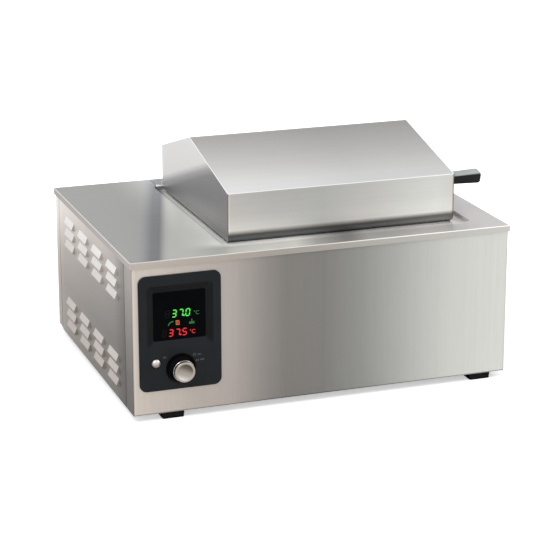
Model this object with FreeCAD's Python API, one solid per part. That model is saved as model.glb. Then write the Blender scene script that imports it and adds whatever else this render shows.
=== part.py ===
"""Laboratory water bath with a stainless casing, a deep-drawn tub and a hinged gable lid.

Millimetres, +Z up. The front looks along -Y and the object's left side is at -X.
X = 0 is halfway between the lips of the louvres and the deck's right edge, Y = 0 is halfway
between the knob's face and the tip of the drain nozzle, and Z = 0 is the bench under the feet.
"""
import FreeCAD, Part
import math
import os

V = FreeCAD.Vector
X_AXIS, Y_AXIS, Z_AXIS = V(1, 0, 0), V(0, 1, 0), V(0, 0, 1)

# Casing
BODY_W = 578.0            # casing width over the side panels
BODY_D = 436.0            # casing depth over the front and rear panels
BODY_H = 227.0            # underside of the casing to the top of the deck
SHEET = 1.0               # stainless sheet of the casing, the lid and the tub
BEND_R = 1.5              # outer bend radius of the folded sheets
AIR = 0.3                 # between parts that stand near each other without touching
FRONT_RETURN = 36.5       # side flange of the front panel
REAR_RETURN = 21.3        # side flange of the rear panel
REAR_RISE = 3.0           # the rear panel ends this much above the casing's underside
TOP_FLANGE = 14.0         # inward flange under the deck
JOGGLE = 10.0             # edge of a side panel that tucks behind the folded flanges
PANEL_GAP = 2.0           # joint beside a side panel
BASE_FLANGE = 14.0        # upturned edge of the base plate
VENT_L, VENT_W = 34.0, 4.0
SLOT_ROUND = 0.49         # corner radius of a slot, in its widths
VENT_PITCH = 14.0
VENT_ROWS, VENT_COUNT = 2, 5

# Louvres pressed out of the left side panel
LOUVRE_FOOT = 57.0        # width at the open lower edge
LOUVRE_TOP = 48.0         # width at the upper bend
LOUVRE_LIP = 50.0         # width of the raised lip
LOUVRE_H = 11.0
LOUVRE_OUT = 4.0          # how far the lip stands out
LOUVRE_LIP_H = 1.3
LOUVRE_COLUMNS = 4
LOUVRE_ROWS = 3
LOUVRE_PITCH_Y = 81.4
LOUVRE_PITCH_Z = 18.3
LOUVRE_LOW = 20.0         # lowest louvre above the panel's lower edge
LOUVRE_HIGH = 28.5        # highest louvre below the deck
LOUVRE_SHIFT_Y = 4.3      # middle of the louvres behind the casing's middle

# Feet
FOOT_H = 11.0
FOOT_SIZE = 34.0
FOOT_TAPER = 0.8
FOOT_R = 3.5
FOOT_IN_LEFT = 60.0       # centre of the left feet from the left side
FOOT_IN_RIGHT = 37.0
FOOT_IN_FRONT = 20.5
FOOT_IN_REAR = 20.5
FOOT_SCREW_R = 2.0
FOOT_HEAD_R = 4.0
FOOT_HEAD_H = 2.4
FOOT_BORE_DEPTH = 4.6
FOOT_HEAD_CLEAR = 0.6     # round the sunk screw head

# Deck
DECK_OVERHANG = 2.0
DECK_LIP = 9.5
RECESS_DEPTH = 5.0
RECESS_R = 10.0
RECESS_FRONT = 20.5       # from the lid's front wall to the edge of the recess
RECESS_REAR = 8.5
RECESS_LEFT = 13.0
RECESS_RIGHT = 20.0

# Tub
TUB_W = 350.0
TUB_D = 290.0
TUB_DEPTH = 140.0         # from the ledge to the floor
TUB_CORNER_R = 30.0
TUB_FLOOR_R = 18.0
TUB_FLANGE = 10.0
TUB_SHIFT_X = 50.0        # tub centre from the casing centre

# Lid
LID_LAP_SIDE = 2.0        # how far the lid covers the ledge round the tub
LID_LAP_FRONT = 12.5
LID_LAP_REAR = 24.5
LID_EAVE_FRONT = 68.8     # front eave above the deck
LID_EAVE_REAR = 67.5
LID_RIDGE = 112.0
LID_RIDGE_BACK = 182.0    # ridge behind the front wall
LID_GABLE_RISE = 3.0      # gap between the gables and the ledge
LID_ROLL_R = 10.0         # rolled lower edge of the front wall
LID_ROLL_LIP = 8.0
LID_ROLL_GAP = 0.3        # rolled edge over the ledge
LID_OPEN_GAP = 0.3        # rear wall over the deck when the lid stands open
ROD_R = 2.0
ROD_RUN = 0.06            # running clearance of the rod in its bearings
REAR_EDGE_UP = 0.6        # height of the rear wall's edge above the rod's axis, in rod radii
ROD_GAP = 6.0             # bare rod between a gable and its bearing
BEARING_L = 6.0
BEARING_R = 3.5
BEARING_FOOT = 5.0
ROD_END_GAP = 1.0         # rod end inside its bearing

# Lid handle
GRIP_L = 50.0
GRIP_ROOT_H, GRIP_ROOT_D = 13.5, 17.0
GRIP_END_H, GRIP_END_D = 17.5, 19.0
GRIP_BACK = 20.5          # handle axis behind the lid's front wall
GRIP_DROP = 16.5          # handle axis below the roof
GRIP_ROOT_R, GRIP_END_R = 1.5, 3.5
GRIP_CROWN = 4.0
GRIP_CROWN_IN = 3.2       # how far the crown draws in
GRIP_CROWN_STEPS = 4
GRIP_SCREW_R = 2.5
GRIP_SCREW_DEPTH = 22.0
GRIP_WASHER_R, GRIP_WASHER_T = 6.0, 1.2
GRIP_HEAD_R, GRIP_HEAD_H = 4.5, 3.2

# Control bezel
BEZEL_W = 121.4
BEZEL_H = 170.5
BEZEL_IN = 9.3            # bezel edge from the casing's left side
BEZEL_DROP = 22.0         # bezel top below the deck
BEZEL_R = 11.0
BEZEL_PROUD = 2.5
BEZEL_BACK = 6.0          # back of the bezel behind the panel's face
BEZEL_RIM = 4.5           # rim that covers the edge of the panel's cut-out
BEZEL_FIT = 0.3
BEZEL_ROUND = 1.2
FRAME_W, FRAME_H = 97.6, 93.0
FRAME_R = 6.0
FRAME_DROP = 15.0         # frame top below the bezel top
VIEW_W, VIEW_H = 77.6, 71.8
VIEW_R = 3.0
VIEW_DROP = 11.0          # visible window top below the frame top
VIEW_DEPTH = 5.0          # bottom of the sloped frame behind the bezel's face
WINDOW_T = 1.5
WINDOW_LAP = 4.0
WINDOW_FIT = 0.15
BOARD_BACK = 18.0         # front of the front board behind the panel's face
BOARD_T = 1.6
BOARD_MARGIN = 8.0
MODULE_MARGIN = 1.0
STANDOFF_R = 3.0
STANDOFF_IN = 6.0
SCREW_R = 1.5
SCREW_HEAD_R, SCREW_HEAD_H = 2.8, 1.8
SCREW_IN = 6.0            # how far the inlet's screws go in
HEAD_EDGE = 0.4           # part of a screw head's height that is bevelled

# Control knob
KNOB_UP = 31.0            # knob axis above the bezel's lower edge
KNOB_BASE_R = 18.0
KNOB_NECK_R = 15.6
KNOB_CAP_R = 15.2
KNOB_CAP_L = 4.6
KNOB_GROOVE = 0.9         # dark groove between the cap and the thin ring behind it
KNOB_GROOVE_R = 14.4
KNOB_RING_L = 0.8
KNOB_RING_R = 15.8
KNOB_PROUD = 23.0         # knob face in front of the panel's face
KNOB_BASE_OUT = 0.5       # knob base in front of the panel's face
KNOB_PUSH = 4.0
KNOB_DISH = 2.2
KNOB_RIM = 1.6
KNOB_WALL = 1.5
KNOB_BASE_L = 5.0         # the body's wide end
KNOB_RIM_L = 1.0
KNOB_EDGE = 0.6
KNOB_HUB = 3.0            # wall round the shaft
HOLLOW_L = 8.0            # hollow in the body's back
HOLLOW_MOUTH, HOLLOW_WALL = 1.0, 3.0
RING_EDGE = 0.3
DISH_FLAT, DISH_STEP = 0.8, 0.3
WELL_SPARE = 0.5          # floor of the knob's well behind the pushed knob
ROTOR_CLEAR = 1.0
WELL_CLEAR = 1.3
WELL_DISH = 3.0
WELL_DISH_DEPTH = 1.6
SHAFT_R = 3.0
SHAFT_FLAT = 0.8          # height of the flat cut off the shaft
SHAFT_RUN = 0.05
SHAFT_BACK = 12.5         # shaft end behind the panel's face
ROTOR_R = 4.5
ENCODER_SIZE = 14.0
ENCODER_BACK = 0.2        # wall behind the rotor

# Set button
BUTTON_X = 24.3           # button axis from the bezel's left edge
BUTTON_UP = 41.5
BUTTON_R = 6.3
BUTTON_DOME = 3.6
BUTTON_RUN = 0.3
BUTTON_FLANGE = 1.4
BUTTON_FLANGE_T = 1.2
BUTTON_TRAVEL = 1.5
BUTTON_STEM_R = 2.0
BUTTON_MOUTH = 1.0
SWITCH_H = 6.0
SWITCH_SIZE = 6.0

# Inner electronics
WALL_GAP = 3.0            # partition from the recess wall
POWER_W, POWER_H = 190.0, 120.0
POWER_UP = 55.0
POWER_STANDOFF = 8.0
# Sizes are (out, along, tall); places are (behind the board's middle, above its lower edge)
TRAFO, TRAFO_AT = (42.0, 56.0, 46.0), (-55.0, 66.0)
BOBBIN_OUT = 6.0          # wound bobbin beyond the core
BOBBIN_ALONG, BOBBIN_TALL = 31.0, 58.0
BOBBIN_R = 3.0
RELAY, RELAY_AT = (28.0, 13.0, 26.0), (0.0, 80.0)
TERMINAL, TERMINAL_AT = (16.0, 62.0, 14.0), (30.0, 22.0)
TERMINAL_WAYS = 6
TERMINAL_MOUTH = 5.2
TERMINAL_MOUTH_UP = 7.0
SINK, SINK_AT = (32.0, 60.0, 44.0), (52.0, 78.0)
SINK_BASE = 5.0
SINK_FINS = 6
SINK_FIN_T = 1.8

# Mains inlet
INLET_IN = 78.0           # inlet centre from the casing's left side
INLET_UP = 62.0           # inlet centre above the casing's underside
INLET_FLANGE = 50.0
INLET_FLANGE_H = 24.0
INLET_FLANGE_T = 3.0
INLET_ROUND = 0.6         # corner radius of the flange, in half heights
INLET_BODY_W, INLET_BODY_H = 27.0, 19.8
INLET_BODY_L = 24.0
INLET_FIT = 0.2
SOCKET_W, SOCKET_H = 24.0, 16.0
SOCKET_DEPTH = 17.0
SOCKET_CUT = 4.0
BLADE_W, BLADE_T = 2.0, 4.0
BLADE_SPACING = 7.0
BLADE_RISE = 2.0
BLADE_L = 15.0
INLET_SCREW_SPACING = 40.0

# Heating, insulation and sensors
HEATER_T = 2.0
HEATER_EDGE = 26.0
HEATER_LOW = 30.0
HEATER_TALL = 64.0
HEATER_R = 5.0
BOTTOM_HEATER_R = 8.0
INSULATION = 9.0
INSULATION_GAP = 0.3
PROBE_R = 3.0
PROBE_IN = 48.0
PROBE_UP = 16.0
PROBE_BACK = -60.0
LEVEL_UP = 52.0
LEVEL_IN = 16.0
LEVEL_BACK = 70.0
GLAND_R = 6.5
GLAND_L = 7.0
GLAND_PASS_R = 8.5        # hole for a gland in the felt and the heater
COLLAR_CLEAR = 1.5        # round the drain's collar
PROBE_TAIL = 5.0
PROBE_TIP = 1.8           # chamfer of the tip

# Perforated tray
TRAY_CLEAR = 7.0          # beside the tray at the left and right
TRAY_REACH = 28.0         # room for fingers at its front and rear
TRAY_R = 20.0
TRAY_UP = 26.0
TRAY_LEG_IN = 24.0
TRAY_LEG_CUT = 20.0       # from the tray's end to its feet
TRAY_LEG_L = 24.0
TRAY_NOTCH = 1.0          # round the probe, where a foot comes near it
TRAY_SLOT_L, TRAY_SLOT_W = 48.0, 3.6
TRAY_COLUMNS, TRAY_ROWS = 5, 9
TRAY_PITCH_X, TRAY_PITCH_Y = 62.0, 22.0

# Drain and ball valve
DRAIN_IN_RIGHT = 75.0     # drain axis from the tub's right wall
DRAIN_IN_REAR = 50.0
DRAIN_UP = 34.0           # drain axis above the casing's underside
PIPE_R, PIPE_BORE = 8.0, 6.5
PIPE_BEND = 20.0
PIPE_COLLAR_R, PIPE_COLLAR_T = 13.0, 3.0
PIPE_STUB = 13.0          # pipe behind the rear panel
PIPE_CLEAR = 0.5
VALVE_END_L = 10.0
VALVE_AF = 24.0
VALVE_MID_R, VALVE_MID_L = 15.0, 24.0
VALVE_SHOULDER = 4.0
VALVE_GAP = 3.0
BALL_R, BALL_BORE = 9.0, 5.5
BALL_STEPS = 10
BALL_CLEAR = 0.4
TONGUE_T, TONGUE_W, TONGUE_H = 2.0, 5.0, 2.0
STEM_R = 3.5
STEM_CLEAR = 0.08
NECK_R, NECK_H = 7.0, 9.0
LEVER_L, LEVER_W, LEVER_T = 62.0, 14.0, 2.5
LEVER_HUB_R = 9.0
LEVER_CRANK, LEVER_CRANK_RUN = 8.0, 11.0
LEVER_GAP = 0.5           # lever over the valve's neck
LEVER_END_R = 5.5
STEM_PROUD = 1.5
LEVER_NUT_AF, LEVER_NUT_H = 10.0, 4.5
NOZZLE_R, NOZZLE_BORE = 6.6, 4.6
NOZZLE_L = 26.0
NOZZLE_BARBS = 3
NOZZLE_BARB_H = 0.9
NOZZLE_BARB_FLAT = 1.0
NOZZLE_NECK, NOZZLE_TIP = 3.0, 2.0

# Rear panel screws
REAR_SCREW_R = 2.0
REAR_HEAD_R, REAR_HEAD_H = 4.0, 2.2
REAR_SCREW_L = 8.0
REAR_SCREW_IN = 11.0
REAR_SCREW_LOW = 9.0

# Places worked out from the sizes above
XC = (LOUVRE_OUT - DECK_OVERHANG) / 2
XL, XR = XC - BODY_W / 2, XC + BODY_W / 2
REAR_REACH = VALVE_GAP + VALVE_END_L * 2 + VALVE_MID_L + NOZZLE_L
YF = (KNOB_PROUD - BODY_D - REAR_REACH) / 2
YR = YF + BODY_D
YC = (YF + YR) / 2
Z0 = FOOT_H
Z_DECK = FOOT_H + BODY_H
Z_UNDER = Z_DECK - SHEET
Z_LEDGE = Z_DECK - RECESS_DEPTH
Z_FLOOR = Z_LEDGE - TUB_DEPTH

TUB_XC = XC + TUB_SHIFT_X
TUB_X0, TUB_X1 = TUB_XC - TUB_W / 2, TUB_XC + TUB_W / 2
TUB_Y0, TUB_Y1 = YC - TUB_D / 2, YC + TUB_D / 2

LID_X0, LID_X1 = TUB_X0 - LID_LAP_SIDE, TUB_X1 + LID_LAP_SIDE
LID_Y0, LID_Y1 = TUB_Y0 - LID_LAP_FRONT, TUB_Y1 + LID_LAP_REAR
LID_W, LID_D = LID_X1 - LID_X0, LID_Y1 - LID_Y0
LID_LOW = Z_LEDGE + LID_ROLL_GAP
LID_GABLE_Z = Z_LEDGE + LID_GABLE_RISE
ROD_Y = LID_Y1 - SHEET / 2
ROD_Z = Z_DECK + SHEET / 2 + LID_OPEN_GAP
ROD_OUT = ROD_GAP + BEARING_L - ROD_END_GAP

RECESS_X0, RECESS_X1 = LID_X0 - RECESS_LEFT, LID_X1 + RECESS_RIGHT
RECESS_Y0, RECESS_Y1 = LID_Y0 - RECESS_FRONT, LID_Y1 + RECESS_REAR

BEZEL_X0 = XL + BEZEL_IN
BEZEL_X1 = BEZEL_X0 + BEZEL_W
BEZEL_Z1 = Z_DECK - BEZEL_DROP
BEZEL_Z0 = BEZEL_Z1 - BEZEL_H
BEZEL_XC = (BEZEL_X0 + BEZEL_X1) / 2
BEZEL_Y = YF - BEZEL_PROUD
BEZEL_YB = YF + BEZEL_BACK
FRAME_Z1 = BEZEL_Z1 - FRAME_DROP
VIEW_Z1 = FRAME_Z1 - VIEW_DROP
VIEW_Y = BEZEL_Y + VIEW_DEPTH
BOARD_Y = YF + BOARD_BACK
KNOB_X, KNOB_Z = BEZEL_XC, BEZEL_Z0 + KNOB_UP
BUTTON_XC, BUTTON_Z = BEZEL_X0 + BUTTON_X, BEZEL_Z0 + BUTTON_UP

WALL_X = RECESS_X0 - SHEET - WALL_GAP
DRAIN_XC, DRAIN_YC = TUB_X1 - DRAIN_IN_RIGHT, TUB_Y1 - DRAIN_IN_REAR
DRAIN_Z = Z0 + DRAIN_UP
VALVE_Y0 = YR + VALVE_GAP
VALVE_MID_Y = VALVE_Y0 + VALVE_END_L + VALVE_MID_L / 2
VALVE_Y1 = VALVE_Y0 + 2 * VALVE_END_L + VALVE_MID_L
INLET_X, INLET_Z = XL + INLET_IN, Z0 + INLET_UP
FEET = [(XL + FOOT_IN_LEFT, YF + FOOT_IN_FRONT), (XR - FOOT_IN_RIGHT, YF + FOOT_IN_FRONT),
        (XL + FOOT_IN_LEFT, YR - FOOT_IN_REAR), (XR - FOOT_IN_RIGHT, YR - FOOT_IN_REAR)]
FOOT_NAMES = ["front_left_foot", "front_right_foot", "rear_left_foot", "rear_right_foot"]


# Drawing helpers

def box(x0, x1, y0, y1, z0, z1):
    return Part.makeBox(x1 - x0, y1 - y0, z1 - z0, V(x0, y0, z0))


def rod(start, direction, radius, length):
    return Part.makeCylinder(radius, length, start, direction)


def in_xy(z):
    return lambda a, b: V(a, b, z)


def in_xz(y):
    return lambda a, b: V(a, y, b)


def in_yz(x):
    return lambda a, b: V(x, a, b)


def rounded_wire(a0, a1, b0, b1, radius, place):
    """A rectangle with round corners, drawn in the plane that place gives."""
    near = radius * (1 - math.sqrt(0.5))
    corners = [
        ((a1 - radius, b0), (a1 - near, b0 + near), (a1, b0 + radius)),
        ((a1, b1 - radius), (a1 - near, b1 - near), (a1 - radius, b1)),
        ((a0 + radius, b1), (a0 + near, b1 - near), (a0, b1 - radius)),
        ((a0, b0 + radius), (a0 + near, b0 + near), (a0 + radius, b0)),
    ]
    edges = []
    for index, (first, middle, last) in enumerate(corners):
        edges.append(Part.Arc(place(*first), place(*middle), place(*last)).toShape())
        following = corners[(index + 1) % 4][0]
        edges.append(Part.LineSegment(place(*last), place(*following)).toShape())
    return Part.Wire(edges)


def polygon(points, place):
    corners = [place(*point) for point in points]
    return Part.makePolygon(corners + [corners[0]])


def pad(wire, direction):
    return Part.Face(wire).extrude(direction)


def rounded_block(x0, x1, y0, y1, z0, z1, radius):
    """A block with round upright corners."""
    return pad(rounded_wire(x0, x1, y0, y1, radius, in_xy(z0)), V(0, 0, z1 - z0))


def front_block(x0, x1, z0, z1, y0, y1, radius):
    """A plate that faces the front, with round corners."""
    return pad(rounded_wire(x0, x1, z0, z1, radius, in_xz(y0)), V(0, y1 - y0, 0))


def turned(profile, origin, direction):
    """Turn a profile of (distance along the axis, radius) points about an axis."""
    side = V(0, 0, 1) if abs(direction.z) < 0.5 else V(1, 0, 0)
    corners = [origin + direction * along + side * radius for along, radius in profile]
    wire = Part.makePolygon(corners + [corners[0]])
    return Part.Face(wire).revolve(origin, direction, 360)


def hexagon(centre, direction, across_flats, length):
    """A hexagonal bar; its corners lie across the given direction."""
    radius = across_flats / math.sqrt(3)
    side = V(0, 0, 1) if abs(direction.z) < 0.5 else V(1, 0, 0)
    other = direction.cross(side)
    corners = []
    for step in range(6):
        angle = math.radians(60 * step)
        corners.append(centre + side * (radius * math.cos(angle)) + other * (radius * math.sin(angle)))
    return pad(Part.makePolygon(corners + [corners[0]]), direction * length)


def joined(shapes):
    return shapes[0].multiFuse(shapes[1:]).removeSplitter()


def without(shape, tools):
    return shape.cut(tools[0].multiFuse(tools[1:])) if len(tools) > 1 else shape.cut(tools[0])


def level_edges(shape, z):
    """Edges that lie flat at one height."""
    return [e for e in shape.Edges if abs(e.BoundBox.ZMin - z) < 1e-4 and abs(e.BoundBox.ZMax - z) < 1e-4]


def upright_edges(shape, test):
    """Straight upright edges whose middle passes the test."""
    found = []
    for edge in shape.Edges:
        bounds = edge.BoundBox
        if bounds.XLength < 1e-4 and bounds.YLength < 1e-4 and test(bounds.Center):
            found.append(edge)
    return found


def plane_edges(shape, y):
    """Edges that lie in one upright plane that faces the front."""
    return [e for e in shape.Edges if abs(e.BoundBox.YMin - y) < 1e-4 and abs(e.BoundBox.YMax - y) < 1e-4]


def pan_screw(seat, outward, shank_r, shank_l, head_r, head_h):
    """A screw whose head sits on a face, with the shank going in behind it."""
    edge = head_h * HEAD_EDGE
    profile = [(-shank_l, 0), (-shank_l, shank_r), (0, shank_r), (0, head_r), (head_h - edge, head_r),
               (head_h, head_r - 2 * edge), (head_h, 0)]
    return turned(profile, seat, outward)


# Casing

def folded_cover(y_out, y_in, z0, z1):
    """A panel with a flange folded back at each side and another under the deck."""
    inward = 1 if y_in > y_out else -1
    low, high = min(y_out, y_in), max(y_out, y_in)
    outer = box(XL, XR, low, high, z0, z1)
    outer = outer.makeFillet(BEND_R, upright_edges(outer, lambda c: abs(c.y - y_out) < 1e-3))
    inner_y = y_out + inward * SHEET
    inner = box(XL + SHEET, XR - SHEET, min(inner_y, y_in), max(inner_y, y_in), z0, z1)
    inner = inner.makeFillet(BEND_R - SHEET, upright_edges(inner, lambda c: abs(c.y - inner_y) < 1e-3))
    flange_y = inner_y + inward * TOP_FLANGE
    y0, y1 = min(inner_y, flange_y), max(inner_y, flange_y)
    flange = box(XL + 3 * SHEET, XR - 3 * SHEET, y0, y1, z1 - SHEET, z1)
    return joined([outer.cut(inner), flange])


def front_panel():
    panel = folded_cover(YF, YF + FRONT_RETURN, Z0, Z_UNDER)
    inset = BEZEL_RIM
    opening = front_block(BEZEL_X0 + inset, BEZEL_X1 - inset, BEZEL_Z0 + inset, BEZEL_Z1 - inset,
                          YF - SHEET, YF + 2 * SHEET, BEZEL_R - inset)
    return panel.cut(opening)


def rear_screw_places():
    inner = REAR_SCREW_IN + SHEET
    return [(x, Z0 + REAR_SCREW_LOW) for x in (XL + inner, XC, XR - inner)]


def rear_panel():
    panel = folded_cover(YR, YR - REAR_RETURN, Z0 + REAR_RISE, Z_UNDER)
    cuts = [box(INLET_X - INLET_BODY_W / 2 - INLET_FIT, INLET_X + INLET_BODY_W / 2 + INLET_FIT,
                YR - 2 * SHEET, YR + SHEET,
                INLET_Z - INLET_BODY_H / 2 - INLET_FIT, INLET_Z + INLET_BODY_H / 2 + INLET_FIT),
            rod(V(DRAIN_XC, YR - 2 * SHEET, DRAIN_Z), Y_AXIS, PIPE_R + PIPE_CLEAR, 3 * SHEET)]
    for side in (-1, 1):
        cuts.append(rod(V(INLET_X + side * INLET_SCREW_SPACING / 2, YR - 2 * SHEET, INLET_Z),
                        Y_AXIS, SCREW_R, 3 * SHEET))
    for x, z in rear_screw_places():
        cuts.append(rod(V(x, YR - 2 * SHEET, z), Y_AXIS, REAR_SCREW_R, 3 * SHEET))
    return without(panel, cuts)


def rear_panel_screws():
    return [pan_screw(V(x, YR, z), Y_AXIS, REAR_SCREW_R, REAR_SCREW_L, REAR_HEAD_R, REAR_HEAD_H)
            for x, z in rear_screw_places()]


def side_panel(side):
    """A flat panel whose front and rear edges step in and tuck behind the folded flanges."""
    outer = XR if side > 0 else XL
    skin, tuck = outer - side * SHEET, outer - side * 2 * SHEET
    y0, y1 = YF + FRONT_RETURN + PANEL_GAP, YR - REAR_RETURN - PANEL_GAP
    outline = [(outer, y0), (outer, y1), (skin, y1), (skin, y1 + JOGGLE), (tuck, y1 + JOGGLE),
               (tuck, y1 - SHEET), (skin, y1 - SHEET), (skin, y0 + SHEET), (tuck, y0 + SHEET),
               (tuck, y0 - JOGGLE), (skin, y0 - JOGGLE), (skin, y0)]
    return pad(polygon(outline, in_xy(Z0)), V(0, 0, Z_UNDER - Z0))


def louvre_places():
    """Centre and lower edge of each louvre, in two groups."""
    middle = YC + LOUVRE_SHIFT_Y
    columns = [middle + (i - (LOUVRE_COLUMNS - 1) / 2) * LOUVRE_PITCH_Y for i in range(LOUVRE_COLUMNS)]
    low = Z0 + LOUVRE_LOW
    high = Z_DECK - LOUVRE_HIGH - LOUVRE_H - (LOUVRE_ROWS - 1) * LOUVRE_PITCH_Z
    rows = [start + i * LOUVRE_PITCH_Z for start in (low, high) for i in range(LOUVRE_ROWS)]
    return [(y, z) for y in columns for z in rows]


def louvre_form(y, z, grow, x_root, x_lip):
    """The wedge of one louvre: grow is 0 for the outside and minus the sheet for the inside."""
    slope = (LOUVRE_H - LOUVRE_LIP_H) / LOUVRE_OUT
    drop = -grow * math.hypot(1, slope)
    top = LOUVRE_H + slope * (x_root - XL) - drop if grow else LOUVRE_H
    lip = LOUVRE_LIP_H + slope * (x_lip - XL + LOUVRE_OUT) - drop
    foot_w, top_w, lip_w = LOUVRE_FOOT / 2 + grow, LOUVRE_TOP / 2 + grow, LOUVRE_LIP / 2 + grow
    nose_w = lip_w - (foot_w - top_w) * lip / top
    root = polygon([(y - foot_w, z), (y + foot_w, z), (y + top_w, z + top), (y - top_w, z + top)],
                   in_yz(x_root))
    nose = polygon([(y - lip_w, z), (y + lip_w, z), (y + nose_w, z + lip), (y - nose_w, z + lip)],
                   in_yz(x_lip))
    return Part.makeLoft([root, nose], True, True)


def louvred_side_panel():
    panel = side_panel(-1)
    hoods = [louvre_form(y, z, 0, XL, XL - LOUVRE_OUT) for y, z in louvre_places()]
    hollows = [louvre_form(y, z, -SHEET, XL + SHEET, XL - LOUVRE_OUT + SHEET) for y, z in louvre_places()]
    return panel.multiFuse(hoods).cut(hollows[0].multiFuse(hollows[1:]))


def base_plate():
    x0, x1, y0, y1 = XL + 2 * SHEET, XR - 2 * SHEET, YF + SHEET, YR - SHEET
    tray = box(x0, x1, y0, y1, Z0, Z0 + BASE_FLANGE)
    hollow = box(x0 + SHEET, x1 - SHEET, y0 + SHEET, y1 - SHEET, Z0 + SHEET, Z0 + BASE_FLANGE)
    cuts = [hollow]
    for x, y in FEET:
        cuts.append(rod(V(x, y, Z0 - SHEET), Z_AXIS, FOOT_SCREW_R, 3 * SHEET))
    for x, z in rear_screw_places():
        cuts.append(rod(V(x, YR - 3 * SHEET, z), Y_AXIS, REAR_SCREW_R, 3 * SHEET))
    middle = (XL + WALL_X) / 2
    for row in range(VENT_ROWS):
        x = middle + (row - (VENT_ROWS - 1) / 2) * (VENT_L + VENT_PITCH)
        for i in range(VENT_COUNT):
            y = YC + (i - (VENT_COUNT - 1) / 2) * VENT_PITCH
            cuts.append(rounded_block(x - VENT_L / 2, x + VENT_L / 2, y - VENT_W / 2, y + VENT_W / 2,
                                      Z0 - SHEET, Z0 + 2 * SHEET, VENT_W * SLOT_ROUND))
    return without(tray, cuts)


def foot(x, y):
    """A rubber block, a little narrower below, with a sunk hole for its screw."""
    half = FOOT_SIZE / 2
    small = half - FOOT_TAPER
    wide = rounded_wire(x - half, x + half, y - half, y + half, FOOT_R, in_xy(Z0))
    narrow = rounded_wire(x - small, x + small, y - small, y + small, FOOT_R, in_xy(0))
    block = Part.makeLoft([narrow, wide], True, True)
    return without(block, [rod(V(x, y, -1), Z_AXIS, FOOT_HEAD_R + FOOT_HEAD_CLEAR, 1 + FOOT_BORE_DEPTH),
                           rod(V(x, y, -1), Z_AXIS, FOOT_SCREW_R, Z0 + 2)])


def foot_screws():
    length = Z0 - FOOT_BORE_DEPTH + 4 * SHEET
    return [pan_screw(V(x, y, FOOT_BORE_DEPTH), V(0, 0, -1), FOOT_SCREW_R, length, FOOT_HEAD_R, FOOT_HEAD_H)
            for x, y in FEET]


def top_deck():
    """The folded deck, with the sunk ledge that the lid stands on and the tub's opening."""
    x0, x1, y0, y1 = XL - DECK_OVERHANG, XR + DECK_OVERHANG, YF - DECK_OVERHANG, YR + DECK_OVERHANG
    outer = box(x0, x1, y0, y1, Z_DECK - DECK_LIP, Z_DECK)
    outer = outer.makeFillet(BEND_R, level_edges(outer, Z_DECK))
    inner = box(x0 + SHEET, x1 - SHEET, y0 + SHEET, y1 - SHEET, Z_DECK - DECK_LIP, Z_UNDER)
    pan = rounded_block(RECESS_X0 - SHEET, RECESS_X1 + SHEET, RECESS_Y0 - SHEET, RECESS_Y1 + SHEET,
                        Z_LEDGE - SHEET, Z_UNDER, RECESS_R + SHEET)
    pocket = rounded_block(RECESS_X0, RECESS_X1, RECESS_Y0, RECESS_Y1, Z_LEDGE, Z_DECK + SHEET, RECESS_R)
    deck = joined([outer.cut(inner), pan]).cut(pocket)
    inside = [e for e in level_edges(deck, Z_DECK) if e.BoundBox.XMin > RECESS_X0 - 1
              and e.BoundBox.XMax < RECESS_X1 + 1 and e.BoundBox.YMin > RECESS_Y0 - 1]
    deck = deck.makeFillet(BEND_R, inside)
    opening = rounded_block(TUB_X0, TUB_X1, TUB_Y0, TUB_Y1, Z_LEDGE - 2 * SHEET, Z_DECK, TUB_CORNER_R)
    return deck.cut(opening)


# Tub and what is fitted to it

def bath_tub():
    """The drawn tub: one shell with a flange under the ledge."""
    outer = rounded_block(TUB_X0 - SHEET, TUB_X1 + SHEET, TUB_Y0 - SHEET, TUB_Y1 + SHEET,
                          Z_FLOOR - SHEET, Z_LEDGE - SHEET, TUB_CORNER_R + SHEET)
    outer = outer.makeFillet(TUB_FLOOR_R + SHEET, level_edges(outer, Z_FLOOR - SHEET))
    inner = rounded_block(TUB_X0, TUB_X1, TUB_Y0, TUB_Y1, Z_FLOOR, Z_LEDGE, TUB_CORNER_R)
    inner = inner.makeFillet(TUB_FLOOR_R, level_edges(inner, Z_FLOOR))
    rim = TUB_FLANGE
    flange = rounded_block(TUB_X0 - rim, TUB_X1 + rim, TUB_Y0 - rim, TUB_Y1 + rim,
                           Z_LEDGE - 2 * SHEET, Z_LEDGE - SHEET, TUB_CORNER_R + rim)
    shell = joined([outer, flange]).cut(inner)
    return without(shell, [rod(V(DRAIN_XC, DRAIN_YC, Z_FLOOR - 2 * SHEET), Z_AXIS, PIPE_BORE, 3 * SHEET),
                           probe_hole(PROBE_BACK, PROBE_UP), probe_hole(LEVEL_BACK, LEVEL_UP)])


def probe_hole(back, up):
    return rod(V(TUB_X0 - 3 * SHEET, YC + back, Z_FLOOR + up + PROBE_R), X_AXIS, PROBE_R, 5 * SHEET)


def wall_probe(back, up, reach):
    """A round probe through the tub's left wall, held by a hexagon gland outside."""
    y, z = YC + back, Z_FLOOR + up + PROBE_R
    outside = TUB_X0 - SHEET
    tail = outside - GLAND_L - PROBE_TAIL
    body = rod(V(tail, y, z), X_AXIS, PROBE_R, TUB_X0 + reach - tail)
    tip = [e for e in body.Edges if abs(e.BoundBox.XMin - TUB_X0 - reach) < 1e-3]
    body = body.makeChamfer(PROBE_TIP, tip)
    gland = hexagon(V(outside - GLAND_L, y, z), X_AXIS, 2 * GLAND_R, GLAND_L)
    return joined([body, gland])


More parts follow.
